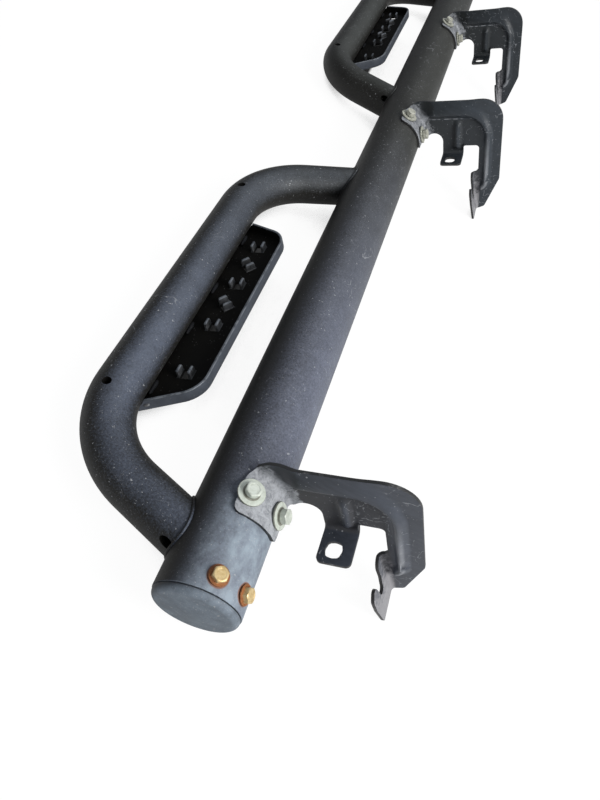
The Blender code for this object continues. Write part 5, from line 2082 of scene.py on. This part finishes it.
# ---------------------------------------------------------------- floor, light and camera
@dataclass
class Studio:
    """A plain pale floor, soft light and the camera.

    The camera's place and axes are in the tube's frame; its focal length is in picture heights.
    """

    board: Board
    eye: Spot = (0.0, -0.915, 0.494)
    right: Spot = (0.91949, 0.29483, 0.26004)
    up: Spot = (-0.39239, 0.72849, 0.56155)
    back: Spot = (-0.02387, -0.61837, 0.78552)
    focal: float = 0.775
    sensor: float = 36.0
    view_depth: tuple[float, float] = (0.01, 50)
    floor_half: float = 30.0
    floor_drop: float = 0.0005
    floor_colour: Colour = (0.62, 0.62, 0.62)
    floor_glow: float = 1.07
    shade_reach: float = 0.07
    shade_insets: tuple[float, float, float, float] = (0.010, 0.018, 0.050, 0.010)
    shade_edge: float = 0.006
    shade_share: float = 0.985
    shade_window: tuple[float, float] = (0.0, 0.38)
    glossy_share: float = 0.35
    glow_share: float = 0.90
    sky_colour: Colour = (0.88, 0.93, 1.0)
    sky_strength: float = 0.24

    def under(self, tree: Tree, node: str) -> Wire:
        """Find where the floor's glow is darkened in a painted shadow under a low pan.

        Args:
            tree: the floor's nodes.
            node: the pan's solid.

        Returns:
            Almost 1 inside the solid's box, drawn in on its low and high sides, and 0 elsewhere.
        """
        low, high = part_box(node)
        heel, toe, near, far = self.shade_insets
        edge = self.shade_edge
        x, y, _ = tree.axes()
        across = x.rise(low.x + heel, low.x + heel + edge) * x.rise(high.x - toe, high.x - toe - edge)
        along = y.rise(low.y + near, low.y + near + edge) * y.rise(high.y - far, high.y - far - edge)
        return across * along * self.shade_share

    def floor_material(self) -> Material:
        """A pale matt floor that looks white to the camera; close under the board its glow is darkened, a
        painted shadow.

        Returns:
            The material.
        """
        tree = finish_tree("studio_floor")
        direct, through, glossy = (tree.out("ShaderNodeLightPath", output=f"Is {ray} Ray")
                                   for ray in ("Camera", "Transmission", "Glossy"))
        seen = direct.most(through).most(glossy * self.glossy_share)
        open_sky = tree.out("ShaderNodeAmbientOcclusion", {"samples": 12},
                            {"Distance": self.shade_reach}, "AO")
        # Painted shadow: the glow is darkened by ambient occlusion and in boxes under the pans.
        light = open_sky.rise(*self.shade_window)
        for end in End:
            light = light * (1.0 - self.under(tree, f"{end.label}_tread"))
        matt = tree.out("ShaderNodeBsdfDiffuse", {}, {"Color": (*self.floor_colour, 1)})
        glow = tree.out("ShaderNodeEmission", {}, {"Color": light, "Strength": self.floor_glow})
        surface = tree.out("ShaderNodeMixShader", {}, {0: seen * self.glow_share, 1: matt, 2: glow})
        tree.node("ShaderNodeOutputMaterial", {}, {"Surface": surface})
        return tree.owner

    def add_floor(self) -> None:
        """A wide floor under the board."""
        mesh = bpy.data.meshes.new("studio_floor")
        corners = raised(self.floor_half * np.array([(-1, -1), (1, -1), (1, 1), (-1, 1)]), 0.0)
        mesh.from_pydata(corners.tolist(), [], [[0, 1, 2, 3]])
        mesh.materials.append(self.floor_material())
        floor = linked("studio_floor", mesh)
        floor.location.z = -self.floor_drop

    def add_sky(self) -> None:
        """A soft cool sky, white to the camera."""
        tree = Tree(bpy.data.worlds.new("studio_sky"))
        sky = tree.out("ShaderNodeBackground", {},
                       {"Color": (*self.sky_colour, 1), "Strength": self.sky_strength})
        white = tree.out("ShaderNodeBackground", {}, {"Color": (1, 1, 1, 1)})
        direct = tree.out("ShaderNodeLightPath", output="Is Camera Ray")
        surface = tree.out("ShaderNodeMixShader", {}, {0: direct, 1: sky, 2: white})
        tree.node("ShaderNodeOutputWorld", {}, {"Surface": surface})
        bpy.context.scene.world = tree.owner

    def add_lamp(self, name: str, spot: Spot, size: float, power: float, colour: Colour) -> None:
        """Add a square soft lamp aimed at the origin.

        Args:
            name: its name.
            spot: its place.
            size: length of its sides.
            power: its power in watts.
            colour: its colour.
        """
        lamp = bpy.data.lights.new(name, "AREA")
        lamp.size = size
        lamp.energy = power
        lamp.color = colour
        item = linked(name, lamp)
        item.location = spot
        item.rotation_mode = "QUATERNION"
        item.rotation_quaternion = (-Vector(spot)).to_track_quat("-Z", "Y")

    def add_camera(self) -> None:
        """The camera, placed in the tube's own frame."""
        data = bpy.data.cameras.new("camera")
        data.sensor_width = self.sensor
        data.lens = self.focal * self.sensor
        data.clip_start, data.clip_end = self.view_depth
        camera = linked("camera", data)
        tube = self.board.place
        matrix = np.eye(4)
        matrix[:3, :3] = ORIGIN.inside((0, 0, 0), tube.turn).carry(
            np.array([self.right, self.up, self.back])).T
        matrix[:3, 3] = tube.carry(np.array(self.eye))
        camera.matrix_world = Matrix(matrix.tolist())
        bpy.context.scene.camera = camera

    def build(self) -> None:
        """Set everything up."""
        self.add_floor()
        self.add_sky()
        self.add_lamp("key_lamp", (1.70, -1.15, 1.90), 1.3, 66, (1.0, 0.995, 0.98))
        self.add_lamp("fill_lamp", (0.3, 1.4, 2.3), 1.6, 12, (0.92, 0.96, 1.0))
        self.add_camera()
        bpy.context.scene.view_settings.view_transform = "Standard"


def main() -> None:
    """Build the board and the studio."""
    logging.basicConfig(level=logging.INFO, format="%(name)s: %(message)s")
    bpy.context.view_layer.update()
    board = Board()
    LOG.info("tube axis at %s, turned %.3f degrees", board.place.origin, math.degrees(board.place.turn))
    board.build()
    Studio(board).build()


if __name__ == "__main__":
    main()
